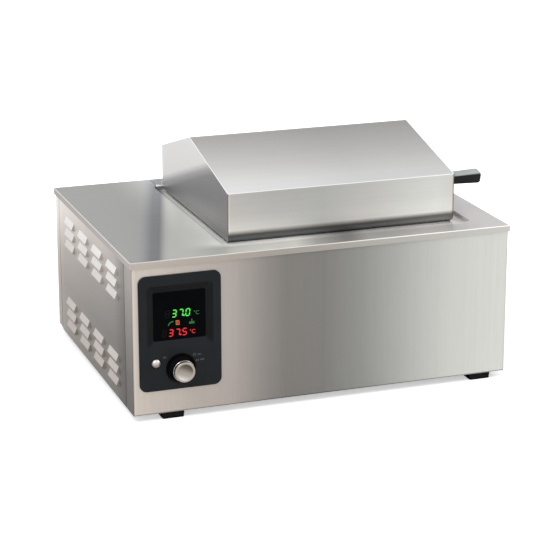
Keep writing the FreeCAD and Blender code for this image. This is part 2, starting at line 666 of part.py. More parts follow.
def perforated_tray():
    """A slotted plate that stands on four folded feet on the tub's floor."""
    x0, x1, y0, y1 = TUB_X0 + TRAY_CLEAR, TUB_X1 - TRAY_CLEAR, TUB_Y0 + TRAY_REACH, TUB_Y1 - TRAY_REACH
    top = Z_FLOOR + TRAY_UP
    plate = rounded_block(x0, x1, y0, y1, top - SHEET, top, TRAY_R)
    slots = []
    for i in range(TRAY_COLUMNS):
        for j in range(TRAY_ROWS):
            x = TUB_XC + (i - (TRAY_COLUMNS - 1) / 2) * TRAY_PITCH_X
            y = YC + (j - (TRAY_ROWS - 1) / 2) * TRAY_PITCH_Y
            slots.append(rounded_block(x - TRAY_SLOT_L / 2, x + TRAY_SLOT_L / 2, y - TRAY_SLOT_W / 2,
                                       y + TRAY_SLOT_W / 2, top - 2 * SHEET, top + SHEET,
                                       TRAY_SLOT_W * SLOT_ROUND))
    pieces = [without(plate, slots)]
    for side in (-1, 1):
        x = TUB_XC + side * (TUB_W / 2 - TRAY_LEG_IN)
        for y in (y0 + TRAY_LEG_CUT, y1 - TRAY_LEG_CUT - TRAY_LEG_L):
            pieces.append(box(x - SHEET / 2, x + SHEET / 2, y, y + TRAY_LEG_L, Z_FLOOR, top - SHEET))
    notch = rod(V(TUB_X0, YC + PROBE_BACK, Z_FLOOR + PROBE_UP + PROBE_R), X_AXIS, PROBE_R + TRAY_NOTCH,
                PROBE_IN + TRAY_NOTCH)
    return joined(pieces).cut(notch)


def side_heater(side):
    wall = TUB_XC + side * (TUB_W / 2 + SHEET)
    x0, x1 = min(wall, wall + side * HEATER_T), max(wall, wall + side * HEATER_T)
    z0 = Z_FLOOR + HEATER_LOW
    outline = rounded_wire(TUB_Y0 + TUB_CORNER_R, TUB_Y1 - TUB_CORNER_R, z0, z0 + HEATER_TALL,
                           HEATER_R, in_yz(x0))
    heater = pad(outline, V(x1 - x0, 0, 0))
    return heater.cut(gland_passage(LEVEL_BACK, LEVEL_UP)) if side < 0 else heater


def gland_passage(back, up):
    """The room that a probe's gland needs outside the tub's left wall."""
    reach = SHEET + HEATER_T + INSULATION_GAP + INSULATION + 1
    return rod(V(TUB_X0 - reach, YC + back, Z_FLOOR + up + PROBE_R), X_AXIS, GLAND_PASS_R, reach)


def bottom_heater():
    edge = HEATER_EDGE
    plate = rounded_block(TUB_X0 + edge, TUB_X1 - edge, TUB_Y0 + edge, TUB_Y1 - edge,
                          Z_FLOOR - SHEET - HEATER_T, Z_FLOOR - SHEET, BOTTOM_HEATER_R)
    low = Z_FLOOR - SHEET - HEATER_T - 1
    return plate.cut(rod(V(DRAIN_XC, DRAIN_YC, low), Z_AXIS, PIPE_COLLAR_R + COLLAR_CLEAR, Z_FLOOR - low))


def tub_insulation():
    """A jacket round the tub and its heaters, open at the top."""
    gap = SHEET + HEATER_T + INSULATION_GAP
    wide = gap + INSULATION
    low = Z_FLOOR - gap - INSULATION
    top = Z_LEDGE - 2 * SHEET
    outer = rounded_block(TUB_X0 - wide, TUB_X1 + wide, TUB_Y0 - wide, TUB_Y1 + wide, low, top,
                          TUB_CORNER_R + wide)
    inner = rounded_block(TUB_X0 - gap, TUB_X1 + gap, TUB_Y0 - gap, TUB_Y1 + gap, Z_FLOOR - gap, top,
                          TUB_CORNER_R + gap)
    drain = rod(V(DRAIN_XC, DRAIN_YC, low - 1), Z_AXIS, PIPE_COLLAR_R + COLLAR_CLEAR, Z_FLOOR - low)
    glands = [gland_passage(PROBE_BACK, PROBE_UP), gland_passage(LEVEL_BACK, LEVEL_UP)]
    return without(outer, [inner, drain] + glands)


def compartment_wall():
    """The sheet between the tub and the electronics, with a foot on the base plate."""
    y0, y1 = YF + FRONT_RETURN, YR - REAR_RETURN
    low = Z0 + SHEET
    wall = box(WALL_X - SHEET, WALL_X, y0, y1, low, Z_UNDER)
    feet = box(WALL_X, WALL_X + TOP_FLANGE, y0, y1, low, low + SHEET)
    head = box(WALL_X - TOP_FLANGE, WALL_X - SHEET, y0, y1, Z_UNDER - SHEET, Z_UNDER)
    return joined([wall, feet, head])


# Electronics

def on_power_board(size, place):
    """A block on the power board, placed by its middle."""
    out, along, tall = size
    back, up = place
    face = power_face()
    return box(face - out, face, YC + back - along / 2, YC + back + along / 2,
               power_low() + up - tall / 2, power_low() + up + tall / 2)


def power_face():
    return WALL_X - SHEET - POWER_STANDOFF - BOARD_T


def power_low():
    return Z0 + POWER_UP


def power_board():
    face = power_face()
    return box(face, face + BOARD_T, YC - POWER_W / 2, YC + POWER_W / 2, power_low(), power_low() + POWER_H)


def board_spacers():
    face = power_face() + BOARD_T
    edge = STANDOFF_IN
    return [rod(V(face, y, z), X_AXIS, STANDOFF_R, POWER_STANDOFF)
            for y in (YC - POWER_W / 2 + edge, YC + POWER_W / 2 - edge)
            for z in (power_low() + edge, power_low() + POWER_H - edge)]


def transformer():
    """A laminated core with a wound bobbin standing out of it."""
    core = on_power_board(TRAFO, TRAFO_AT)
    bobbin = on_power_board((TRAFO[0] + BOBBIN_OUT, BOBBIN_ALONG, BOBBIN_TALL), TRAFO_AT)
    face = [e for e in bobbin.Edges if e.BoundBox.XMax < bobbin.BoundBox.XMin + SHEET]
    return joined([core, bobbin.makeFillet(BOBBIN_R, face)])


def power_relay():
    return on_power_board(RELAY, RELAY_AT)


def heat_sink():
    """A finned block for the switching element."""
    out, along, tall = SINK
    back, up = SINK_AT
    pieces = [on_power_board((SINK_BASE, along, tall), SINK_AT)]
    face, low = power_face(), power_low() + up - tall / 2
    pitch = (along - SINK_FIN_T) / (SINK_FINS - 1)
    for i in range(SINK_FINS):
        y = YC + back - along / 2 + i * pitch
        pieces.append(box(face - out, face - SINK_BASE, y, y + SINK_FIN_T, low, low + tall))
    return joined(pieces)


def terminal_block():
    """Screw terminals in one strip, each way with its own wire mouth."""
    out, along, tall = TERMINAL
    back, up = TERMINAL_AT
    pitch, half = along / TERMINAL_WAYS, TERMINAL_MOUTH / 2
    middle, low = power_face() - out / 2, power_low() + up - tall / 2
    cuts = []
    for i in range(TERMINAL_WAYS):
        y = YC + back + (i - (TERMINAL_WAYS - 1) / 2) * pitch
        cuts.append(box(middle - half, middle + half, y - half, y + half, low - 1, low + TERMINAL_MOUTH_UP))
    return without(on_power_board(TERMINAL, TERMINAL_AT), cuts)


# Control bezel and what works behind it

def funnel(x_mid, z1, w, h, r, z1_in, w_in, h_in, r_in, y0, y1):
    """The sloped sides of the display frame."""
    front = rounded_wire(x_mid - w / 2, x_mid + w / 2, z1 - h, z1, r, in_xz(y0))
    back = rounded_wire(x_mid - w_in / 2, x_mid + w_in / 2, z1_in - h_in, z1_in, r_in, in_xz(y1))
    return Part.makeLoft([front, back], True, True)


def control_bezel():
    rim = front_block(BEZEL_X0, BEZEL_X1, BEZEL_Z0, BEZEL_Z1, BEZEL_Y, YF, BEZEL_R)
    rim = rim.makeFillet(BEZEL_ROUND, plane_edges(rim, BEZEL_Y))
    inset = BEZEL_RIM + BEZEL_FIT
    plug = front_block(BEZEL_X0 + inset, BEZEL_X1 - inset, BEZEL_Z0 + inset, BEZEL_Z1 - inset,
                       YF, BEZEL_YB, BEZEL_R - inset)
    well_r = KNOB_BASE_R + WELL_CLEAR
    well_floor = YF - KNOB_BASE_OUT + KNOB_PUSH + WELL_SPARE
    knob_at = V(KNOB_X, BEZEL_Y, KNOB_Z)
    button_at = V(BUTTON_XC, BEZEL_Y, BUTTON_Z)
    window_x0, window_z0 = BEZEL_XC - VIEW_W / 2 - WINDOW_LAP, VIEW_Z1 - VIEW_H - WINDOW_LAP
    cuts = [
        funnel(BEZEL_XC, FRAME_Z1, FRAME_W, FRAME_H, FRAME_R, VIEW_Z1, VIEW_W, VIEW_H, VIEW_R,
               BEZEL_Y, VIEW_Y),
        box(window_x0, window_x0 + VIEW_W + 2 * WINDOW_LAP, VIEW_Y, BEZEL_YB + 1,
            window_z0, window_z0 + VIEW_H + 2 * WINDOW_LAP),
        rod(knob_at, Y_AXIS, well_r, well_floor - BEZEL_Y),
        Part.makeCone(well_r + WELL_DISH, well_r, WELL_DISH_DEPTH, knob_at, Y_AXIS),
        rod(knob_at, Y_AXIS, ROTOR_R + ROTOR_CLEAR, BEZEL_YB - BEZEL_Y + 1),
        rod(button_at, Y_AXIS, BUTTON_R + BUTTON_RUN, BEZEL_YB - BEZEL_Y + 1),
        Part.makeCone(BUTTON_R + BUTTON_RUN + BUTTON_MOUTH, BUTTON_R + BUTTON_RUN, BUTTON_MOUTH,
                      button_at, Y_AXIS),
    ]
    return without(joined([rim, plug]), cuts)


def display_window():
    lap = WINDOW_LAP - WINDOW_FIT
    return box(BEZEL_XC - VIEW_W / 2 - lap, BEZEL_XC + VIEW_W / 2 + lap, VIEW_Y, VIEW_Y + WINDOW_T,
               VIEW_Z1 - VIEW_H - lap, VIEW_Z1 + lap)


def display_module():
    margin = MODULE_MARGIN
    return box(BEZEL_XC - VIEW_W / 2 - margin, BEZEL_XC + VIEW_W / 2 + margin, VIEW_Y + WINDOW_T, BOARD_Y,
               VIEW_Z1 - VIEW_H - margin, VIEW_Z1 + margin)


def board_pillars():
    """Screw places that hold the front board to the back of the bezel."""
    edge = BOARD_MARGIN + STANDOFF_IN
    return [(x, z) for x in (BEZEL_X0 + edge, BEZEL_X1 - edge) for z in (BEZEL_Z0 + edge, BEZEL_Z1 - edge)]


def front_board():
    m = BOARD_MARGIN
    board = box(BEZEL_X0 + m, BEZEL_X1 - m, BOARD_Y, BOARD_Y + BOARD_T, BEZEL_Z0 + m, BEZEL_Z1 - m)
    holes = [rod(V(x, BOARD_Y - 1, z), Y_AXIS, SCREW_R, BOARD_T + 2) for x, z in board_pillars()]
    return without(board, holes)


def front_board_spacers():
    return [rod(V(x, BEZEL_YB, z), Y_AXIS, STANDOFF_R, BOARD_Y - BEZEL_YB).cut(
            rod(V(x, BEZEL_YB, z), Y_AXIS, SCREW_R, BOARD_Y - BEZEL_YB)) for x, z in board_pillars()]


def front_board_screws():
    length = BOARD_T + BOARD_Y - BEZEL_YB - 1
    return [pan_screw(V(x, BOARD_Y + BOARD_T, z), Y_AXIS, SCREW_R, length, SCREW_HEAD_R, SCREW_HEAD_H)
            for x, z in board_pillars()]


def shaft_bar(y0, y1, radius, flat):
    """A round bar with one flat, along the knob's axis."""
    bar = rod(V(KNOB_X, y0, KNOB_Z), Y_AXIS, radius, y1 - y0)
    return bar.cut(box(KNOB_X - radius, KNOB_X + radius, y0, y1, KNOB_Z + flat, KNOB_Z + radius + 1))


def knob_shaft():
    face = YF - KNOB_PROUD + KNOB_DISH + KNOB_WALL + 1
    return shaft_bar(face, YF + SHAFT_BACK, SHAFT_R, SHAFT_R - SHAFT_FLAT)


def encoder_rotor():
    start, end = BEZEL_YB + AIR, BOARD_Y - AIR
    sleeve = rod(V(KNOB_X, start, KNOB_Z), Y_AXIS, ROTOR_R, end - start)
    hole = shaft_bar(start - 1, end - 1, SHAFT_R + SHAFT_RUN, SHAFT_R - SHAFT_FLAT + SHAFT_RUN)
    return sleeve.cut(hole)


def encoder_housing():
    half = ENCODER_SIZE / 2
    start = BEZEL_YB + AIR
    block = box(KNOB_X - half, KNOB_X + half, start, BOARD_Y, KNOB_Z - half, KNOB_Z + half)
    depth = BOARD_Y - start - ENCODER_BACK
    return block.cut(rod(V(KNOB_X, start, KNOB_Z), Y_AXIS, ROTOR_R + SHAFT_RUN, depth))


def knob_skirt():
    """The black body, with a boss that carries the cap and the ring and takes the shaft."""
    base = KNOB_PROUD - KNOB_BASE_OUT
    ring = KNOB_CAP_L + KNOB_GROOVE
    body = ring + KNOB_RING_L
    boss_r = KNOB_CAP_R - KNOB_WALL
    front = KNOB_DISH + KNOB_WALL
    profile = [(front, 0), (front, boss_r), (KNOB_CAP_L, boss_r), (KNOB_CAP_L, KNOB_GROOVE_R),
               (ring, KNOB_GROOVE_R), (ring, boss_r), (body, boss_r), (body, KNOB_NECK_R),
               (base - KNOB_BASE_L, KNOB_BASE_R - KNOB_EDGE), (base - KNOB_RIM_L, KNOB_BASE_R),
               (base, KNOB_BASE_R - KNOB_EDGE),
               (base, KNOB_NECK_R - HOLLOW_MOUTH), (base - HOLLOW_L, KNOB_NECK_R - HOLLOW_WALL),
               (base - HOLLOW_L, SHAFT_R + KNOB_HUB), (base, SHAFT_R + KNOB_HUB), (base, 0)]
    shape = turned(profile, V(KNOB_X, YF - KNOB_PROUD, KNOB_Z), Y_AXIS)
    face = YF - KNOB_PROUD + front
    return shape.cut(shaft_bar(face + 1, YF, SHAFT_R, SHAFT_R - SHAFT_FLAT))


def knob_ring():
    """The thin silver line between the groove and the black body."""
    start = KNOB_CAP_L + KNOB_GROOVE
    hole = KNOB_CAP_R - KNOB_WALL
    profile = [(start, hole), (start, KNOB_RING_R - RING_EDGE), (start + RING_EDGE, KNOB_RING_R),
               (start + KNOB_RING_L, KNOB_RING_R), (start + KNOB_RING_L, hole)]
    return turned(profile, V(KNOB_X, YF - KNOB_PROUD, KNOB_Z), Y_AXIS)


def knob_cap():
    """The silver cap: a cup with a hollow face and a round rim."""
    steps = 6
    rim_c = KNOB_CAP_R - KNOB_RIM
    profile = [(KNOB_CAP_L, KNOB_CAP_R), (KNOB_RIM, KNOB_CAP_R)]
    for i in range(1, steps):
        angle = math.radians(90 * i / steps)
        profile.append((KNOB_RIM * (1 - math.sin(angle)), rim_c + KNOB_RIM * math.cos(angle)))
    profile.append((0, rim_c))
    hollow_r = rim_c - DISH_FLAT
    for i in range(1, steps + 1):
        radius = hollow_r * (1 - i / steps)
        profile.append((KNOB_DISH * (1 - (radius / hollow_r) ** 2) + DISH_STEP, radius))
    inner = KNOB_DISH + KNOB_WALL
    profile += [(inner, 0), (inner, KNOB_CAP_R - KNOB_WALL), (KNOB_CAP_L, KNOB_CAP_R - KNOB_WALL)]
    return turned(profile, V(KNOB_X, YF - KNOB_PROUD, KNOB_Z), Y_AXIS)


def set_button():
    """A domed cap on a stem, kept in by a flange behind the bezel."""
    steps = 5
    back = BEZEL_BACK + BEZEL_PROUD
    stem_end = BOARD_BACK + BEZEL_PROUD - SWITCH_H - BUTTON_TRAVEL - AIR
    profile = [(-BUTTON_DOME, 0)]
    for i in range(1, steps + 1):
        angle = math.radians(90 * i / steps)
        profile.append((-BUTTON_DOME * math.cos(angle), BUTTON_R * math.sin(angle)))
    flange = BUTTON_R + BUTTON_FLANGE
    profile += [(back + AIR, BUTTON_R), (back + AIR, flange), (back + AIR + BUTTON_FLANGE_T, flange),
                (back + AIR + BUTTON_FLANGE_T, BUTTON_STEM_R), (stem_end, BUTTON_STEM_R), (stem_end, 0)]
    return turned(profile, V(BUTTON_XC, BEZEL_Y, BUTTON_Z), Y_AXIS)


def button_switch():
    half = SWITCH_SIZE / 2
    return box(BUTTON_XC - half, BUTTON_XC + half, BOARD_Y - SWITCH_H, BOARD_Y,
               BUTTON_Z - half, BUTTON_Z + half)


# Mains inlet

def inlet_screw_places():
    return [(INLET_X + side * INLET_SCREW_SPACING / 2, INLET_Z) for side in (-1, 1)]


def mains_inlet():
    """A panel-mounted appliance inlet with a six-sided socket."""
    w, h = INLET_FLANGE / 2, INLET_FLANGE_H / 2
    flange = front_block(INLET_X - w, INLET_X + w, INLET_Z - h, INLET_Z + h, YR, YR + INLET_FLANGE_T,
                         h * INLET_ROUND)
    body = box(INLET_X - INLET_BODY_W / 2, INLET_X + INLET_BODY_W / 2, YR - INLET_BODY_L, YR,
               INLET_Z - INLET_BODY_H / 2, INLET_Z + INLET_BODY_H / 2)
    a, b, c = SOCKET_W / 2, SOCKET_H / 2, SOCKET_CUT
    outline = [(INLET_X - a, INLET_Z - b), (INLET_X + a, INLET_Z - b), (INLET_X + a, INLET_Z + b - c),
               (INLET_X + a - c, INLET_Z + b), (INLET_X - a + c, INLET_Z + b), (INLET_X - a, INLET_Z + b - c)]
    mouth = YR + INLET_FLANGE_T
    socket = pad(polygon(outline, in_xz(mouth - SOCKET_DEPTH)), V(0, SOCKET_DEPTH + 1, 0))
    cuts = [socket]
    for x, z in inlet_screw_places():
        cuts.append(rod(V(x, YR - 1, z), Y_AXIS, SCREW_R, INLET_FLANGE_T + 2))
    for x, z in blade_places():
        cuts.append(box(x - BLADE_W / 2, x + BLADE_W / 2, YR - INLET_BODY_L, mouth - SOCKET_DEPTH + 1,
                        z - BLADE_T / 2, z + BLADE_T / 2))
    return without(joined([flange, body]), cuts)


def blade_places():
    return [(INLET_X - BLADE_SPACING, INLET_Z - BLADE_RISE), (INLET_X, INLET_Z + BLADE_RISE),
            (INLET_X + BLADE_SPACING, INLET_Z - BLADE_RISE)]


def inlet_blades():
    tail = 5.0
    start = YR - INLET_BODY_L - tail
    end = YR + INLET_FLANGE_T - SOCKET_DEPTH + BLADE_L
    return [box(x - BLADE_W / 2, x + BLADE_W / 2, start, end, z - BLADE_T / 2, z + BLADE_T / 2)
            for x, z in blade_places()]


def inlet_screws():
    return [pan_screw(V(x, YR + INLET_FLANGE_T, z), Y_AXIS, SCREW_R, INLET_FLANGE_T + SCREW_IN,
                      SCREW_HEAD_R, SCREW_HEAD_H) for x, z in inlet_screw_places()]


# Drain

def pipe_run(radius):
    """The drain's centre line, made solid: down from the tub, round a bend, and out at the rear."""
    top = Z_FLOOR - SHEET
    bend_z = DRAIN_Z + PIPE_BEND
    bend_y = DRAIN_YC + PIPE_BEND
    drop = rod(V(DRAIN_XC, DRAIN_YC, bend_z), Z_AXIS, radius, top - bend_z)
    ring = Part.makeTorus(PIPE_BEND, radius, V(DRAIN_XC, bend_y, bend_z), X_AXIS)
    reach = PIPE_BEND + radius + 1
    corner = box(DRAIN_XC - reach, DRAIN_XC + reach, bend_y - reach, bend_y, bend_z - reach, bend_z)
    level = rod(V(DRAIN_XC, bend_y, DRAIN_Z), Y_AXIS, radius, YR + PIPE_STUB - bend_y)
    return joined([drop, ring.common(corner), level])


def drain_pipe():
    collar = rod(V(DRAIN_XC, DRAIN_YC, Z_FLOOR - SHEET - PIPE_COLLAR_T), Z_AXIS, PIPE_COLLAR_R, PIPE_COLLAR_T)
    return joined([pipe_run(PIPE_R), collar]).cut(pipe_run(PIPE_BORE))


def valve_body():
    """A ball valve with two hexagon ends, a round middle and a neck for the stem."""
    start = V(DRAIN_XC, VALVE_Y0, DRAIN_Z)
    middle = V(DRAIN_XC, VALVE_MID_Y, DRAIN_Z)
    chamber = BALL_R + BALL_CLEAR
    half, shoulder = VALVE_MID_L / 2, VALVE_MID_L / 2 - VALVE_SHOULDER
    profile = [(-half, 0), (-half, VALVE_AF / 2), (-shoulder, VALVE_MID_R), (shoulder, VALVE_MID_R),
               (half, VALVE_AF / 2), (half, 0)]
    length = 2 * VALVE_END_L + VALVE_MID_L
    pieces = [hexagon(start, Y_AXIS, VALVE_AF, VALVE_END_L),
              hexagon(V(DRAIN_XC, VALVE_Y1 - VALVE_END_L, DRAIN_Z), Y_AXIS, VALVE_AF, VALVE_END_L),
              turned(profile, middle, Y_AXIS),
              rod(middle, Z_AXIS, NECK_R, VALVE_MID_R + NECK_H)]
    cuts = [rod(start, Y_AXIS, BALL_BORE, length),
            rod(start, Y_AXIS, PIPE_R, YR + PIPE_STUB - VALVE_Y0),
            rod(V(DRAIN_XC, VALVE_Y1 - VALVE_END_L, DRAIN_Z), Y_AXIS, NOZZLE_R, VALVE_END_L),
            rod(middle - Y_AXIS * chamber, Y_AXIS, chamber, 2 * chamber),
            rod(middle, Z_AXIS, STEM_R + STEM_CLEAR, VALVE_MID_R + NECK_H + 1)]
    return without(joined(pieces), cuts)


def valve_ball():
    """The bored ball, shut at rest, with a slot for the stem's tongue."""
    start = math.asin(BALL_BORE / BALL_R)
    profile = []
    for step in range(BALL_STEPS + 1):
        angle = start + (math.pi - 2 * start) * step / BALL_STEPS
        profile.append((-BALL_R * math.cos(angle), BALL_R * math.sin(angle)))
    ball = turned(profile, V(DRAIN_XC, VALVE_MID_Y, DRAIN_Z), X_AXIS)
    half = TONGUE_T / 2
    slot = box(DRAIN_XC - BALL_R, DRAIN_XC + BALL_R, VALVE_MID_Y - half, VALVE_MID_Y + half,
               DRAIN_Z + BALL_R - TONGUE_H, DRAIN_Z + BALL_R + 1)
    return ball.cut(slot)


def lever_base():
    return DRAIN_Z + VALVE_MID_R + NECK_H + LEVER_GAP


def valve_stem():
    foot_z = DRAIN_Z + BALL_R
    top = lever_base() + LEVER_T + LEVER_NUT_H + STEM_PROUD
    stem = rod(V(DRAIN_XC, VALVE_MID_Y, foot_z), Z_AXIS, STEM_R, top - foot_z)
    half_w, half_t = TONGUE_W / 2, TONGUE_T / 2
    tongue = box(DRAIN_XC - half_w, DRAIN_XC + half_w, VALVE_MID_Y - half_t, VALVE_MID_Y + half_t,
                 foot_z - TONGUE_H, foot_z)
    return joined([stem, tongue])


def valve_lever():
    """A cranked strip lever that lies across the pipe while the valve is shut."""
    z = lever_base()
    hub = rod(V(DRAIN_XC, VALVE_MID_Y, z), Z_AXIS, LEVER_HUB_R, LEVER_T)
    half = LEVER_W / 2
    high = z + LEVER_CRANK
    x1 = DRAIN_XC - LEVER_HUB_R
    x2 = x1 - LEVER_CRANK_RUN
    x3 = DRAIN_XC - LEVER_L
    shift = LEVER_T / 2
    outline = [(DRAIN_XC, z), (DRAIN_XC, z + LEVER_T), (x1, z + LEVER_T), (x2, high + LEVER_T),
               (x3, high + LEVER_T), (x3, high), (x2 + shift, high), (x1 + shift, z)]
    strip = pad(polygon(outline, in_xz(VALVE_MID_Y - half)), V(0, LEVER_W, 0))
    ends = upright_edges(strip, lambda c: abs(c.x - x3) < 1e-3)
    strip = strip.makeFillet(LEVER_END_R, ends)
    return joined([hub, strip]).cut(rod(V(DRAIN_XC, VALVE_MID_Y, z - 1), Z_AXIS, STEM_R, LEVER_T + 2))


def lever_nut():
    z = lever_base() + LEVER_T
    nut = hexagon(V(DRAIN_XC, VALVE_MID_Y, z), Z_AXIS, LEVER_NUT_AF, LEVER_NUT_H)
    return nut.cut(rod(V(DRAIN_XC, VALVE_MID_Y, z - 1), Z_AXIS, STEM_R, LEVER_NUT_H + 2))


def hose_nozzle():
    """The nozzle that a drain hose is pushed over."""
    profile = [(-VALVE_END_L, NOZZLE_BORE), (-VALVE_END_L, NOZZLE_R), (NOZZLE_NECK, NOZZLE_R)]
    barb_r = NOZZLE_R + NOZZLE_BARB_H
    pitch = (NOZZLE_L - NOZZLE_NECK - NOZZLE_TIP) / NOZZLE_BARBS
    for i in range(NOZZLE_BARBS):
        start = NOZZLE_NECK + i * pitch
        profile += [(start, barb_r), (start + NOZZLE_BARB_FLAT, barb_r), (start + pitch, NOZZLE_R)]
    profile += [(NOZZLE_L, NOZZLE_R - NOZZLE_BARB_H), (NOZZLE_L, NOZZLE_BORE)]
    return turned(profile, V(DRAIN_XC, VALVE_Y1, DRAIN_Z), Y_AXIS)


# Lid

def roof_slopes():
    front = (LID_RIDGE - LID_EAVE_FRONT) / LID_RIDGE_BACK
    rear = (LID_RIDGE - LID_EAVE_REAR) / (LID_D - LID_RIDGE_BACK)
    return front, rear


def lid_outline(inset):
    """Lid section in Y and Z from the front roll to the rear edge; inset 0 is the outside."""
    front, rear = roof_slopes()
    low_front = inset * math.hypot(1, front)
    low_rear = inset * math.hypot(1, rear)
    y0, y1 = LID_Y0 + inset, LID_Y1 - inset
    eave_front = Z_DECK + LID_EAVE_FRONT + inset * front - low_front
    eave_rear = Z_DECK + LID_EAVE_REAR + inset * rear - low_rear
    # The two inner roof lines meet at the ridge.
    ridge_y = (Z_DECK + LID_EAVE_REAR + LID_Y1 * rear - low_rear
               - (Z_DECK + LID_EAVE_FRONT - LID_Y0 * front - low_front)) / (front + rear)
    ridge_z = Z_DECK + LID_EAVE_FRONT + (ridge_y - LID_Y0) * front - low_front
    return (y0, eave_front), (ridge_y, ridge_z), (y1, eave_rear)


def roll_arc(inset):
    """Start, middle and end of the rolled edge's arc, from below to the front wall."""
    yc, zc = LID_Y0 + LID_ROLL_R, LID_LOW + LID_ROLL_R
    radius = LID_ROLL_R - inset
    half = radius * math.sqrt(0.5)
    return (yc, zc - radius), (yc - half, zc - half), (yc - radius, zc)


def section_wire(outer_end, inset, place):
    """The line from the roll over the roof to the rear wall, as edges."""
    bottom, middle, side = roll_arc(inset)
    eave_front, ridge, eave_rear = lid_outline(inset)
    edges = [Part.Arc(place(*bottom), place(*middle), place(*side)).toShape()]
    path = [side, eave_front, ridge, eave_rear, (eave_rear[0], outer_end)]
    for first, last in zip(path, path[1:]):
        edges.append(Part.LineSegment(place(*first), place(*last)).toShape())
    return edges, bottom, path[-1]


def line(first, last, place):
    return Part.LineSegment(place(*first), place(*last)).toShape()


def lid_shell():
    """One folded sheet: rolled front edge, front wall, two roof slopes and rear wall."""
    place = in_yz(LID_X0 + SHEET)
    end_z = ROD_Z + ROD_R * REAR_EDGE_UP
    outer, outer_start, outer_end = section_wire(end_z, 0, place)
    inner, inner_start, inner_end = section_wire(end_z, SHEET, place)
    lip_y = outer_start[0] + LID_ROLL_LIP
    edges = outer + inner + [line(outer_end, inner_end, place),
                             line(inner_start, (lip_y, inner_start[1]), place),
                             line((lip_y, inner_start[1]), (lip_y, outer_start[1]), place),
                             line((lip_y, outer_start[1]), outer_start, place)]
    wire = Part.Wire(Part.__sortEdges__(edges))
    shell = pad(wire, V(LID_W - 2 * SHEET, 0, 0))
    bends = []
    for y, z in lid_outline(0):
        bends += [e for e in shell.Edges if e.BoundBox.XLength > LID_W / 2
                  and abs(e.BoundBox.Center.y - y) < 1e-3 and abs(e.BoundBox.Center.z - z) < 1e-3]
    shell = shell.makeFillet(BEND_R, bends)
    return shell.cut(rod(V(LID_X0, ROD_Y, ROD_Z), X_AXIS, ROD_R, LID_W))


def gable_plate(x):
    place = in_yz(x)
    outer, start, end = section_wire(LID_LOW, 0, place)
    wire = Part.Wire(Part.__sortEdges__(outer + [line(end, start, place)]))
    plate = pad(wire, V(SHEET, 0, 0))
    below = box(x - 1, x + SHEET + 1, LID_Y0 - 1, LID_Y1 + 1, LID_LOW - 1, LID_GABLE_Z)
    return without(plate, [below, rod(V(x - 1, ROD_Y, ROD_Z), X_AXIS, ROD_R, SHEET + 2)])


def lid_left_gable():
    return gable_plate(LID_X0)


def grip_axis():
    front, rear = roof_slopes()
    y = LID_Y0 + GRIP_BACK
    return y, Z_DECK + LID_EAVE_FRONT + GRIP_BACK * front - GRIP_DROP, math.degrees(math.atan(front))


def lid_right_gable():
    y, z, tilt = grip_axis()
    return gable_plate(LID_X1 - SHEET).cut(rod(V(LID_X1 - 2 * SHEET, y, z), X_AXIS, GRIP_SCREW_R, 3 * SHEET))


def lid_handle():
    """A tapered bar in line with the roof slope, thicker outwards, with a domed end."""
    y, z, tilt = grip_axis()
    sections = [(0.0, GRIP_ROOT_D, GRIP_ROOT_H, GRIP_ROOT_R)]
    for step in range(GRIP_CROWN_STEPS + 1):
        angle = math.radians(90 * step / GRIP_CROWN_STEPS)
        inset = 2 * GRIP_CROWN_IN * (1 - math.cos(angle))
        along = GRIP_L - GRIP_CROWN * (1 - math.sin(angle))
        sections.append((along, GRIP_END_D - inset, GRIP_END_H - inset, GRIP_END_R))
    wires = [rounded_wire(-depth / 2, depth / 2, -tall / 2, tall / 2, radius, in_yz(along))
             for along, depth, tall, radius in sections]
    handle = Part.makeLoft(wires, True, True)
    handle.rotate(V(0, 0, 0), X_AXIS, tilt)
    handle.translate(V(LID_X1, y, z))
    return handle.cut(rod(V(LID_X1 - 1, y, z), X_AXIS, GRIP_SCREW_R, GRIP_SCREW_DEPTH + 1))


def handle_washer():
    y, z, tilt = grip_axis()
    x = LID_X1 - SHEET - GRIP_WASHER_T
    return rod(V(x, y, z), X_AXIS, GRIP_WASHER_R, GRIP_WASHER_T).cut(
        rod(V(x - 1, y, z), X_AXIS, GRIP_SCREW_R, GRIP_WASHER_T + 2))


def handle_screw():
    y, z, tilt = grip_axis()
    seat = LID_X1 - SHEET - GRIP_WASHER_T
    return pan_screw(V(seat, y, z), V(-1, 0, 0), GRIP_SCREW_R, SHEET + GRIP_WASHER_T + GRIP_SCREW_DEPTH - 1,
                     GRIP_HEAD_R, GRIP_HEAD_H)


def hinge_rod():
    return rod(V(LID_X0 - ROD_OUT, ROD_Y, ROD_Z), X_AXIS, ROD_R, LID_W + 2 * ROD_OUT)


def hinge_bearing(side):
    """A barrel on a foot that stands on the ledge."""
    gable = LID_X0 if side < 0 else LID_X1
    start = gable + side * ROD_GAP
    x0 = min(start, start + side * BEARING_L)
    barrel = rod(V(x0, ROD_Y, ROD_Z), X_AXIS, BEARING_R, BEARING_L)
    pillar = box(x0, x0 + BEARING_L, ROD_Y - BEARING_FOOT / 2, ROD_Y + BEARING_FOOT / 2, Z_LEDGE, ROD_Z)
    return joined([barrel, pillar]).cut(rod(V(x0 - 1, ROD_Y, ROD_Z), X_AXIS, ROD_R + ROD_RUN, BEARING_L + 2))


def save(name, shape):
    solids = shape if isinstance(shape, list) else [shape]
    result = solids[0] if len(solids) == 1 else Part.makeCompound(solids)
    if not all(s.isValid() and s.Volume > 0 for s in solids):
        raise ValueError(name + " is not a sound solid")
    result.exportStep("parts/" + name + ".step")
    print(name, len(result.Solids), round(result.Volume / 1000, 2), "cm3")


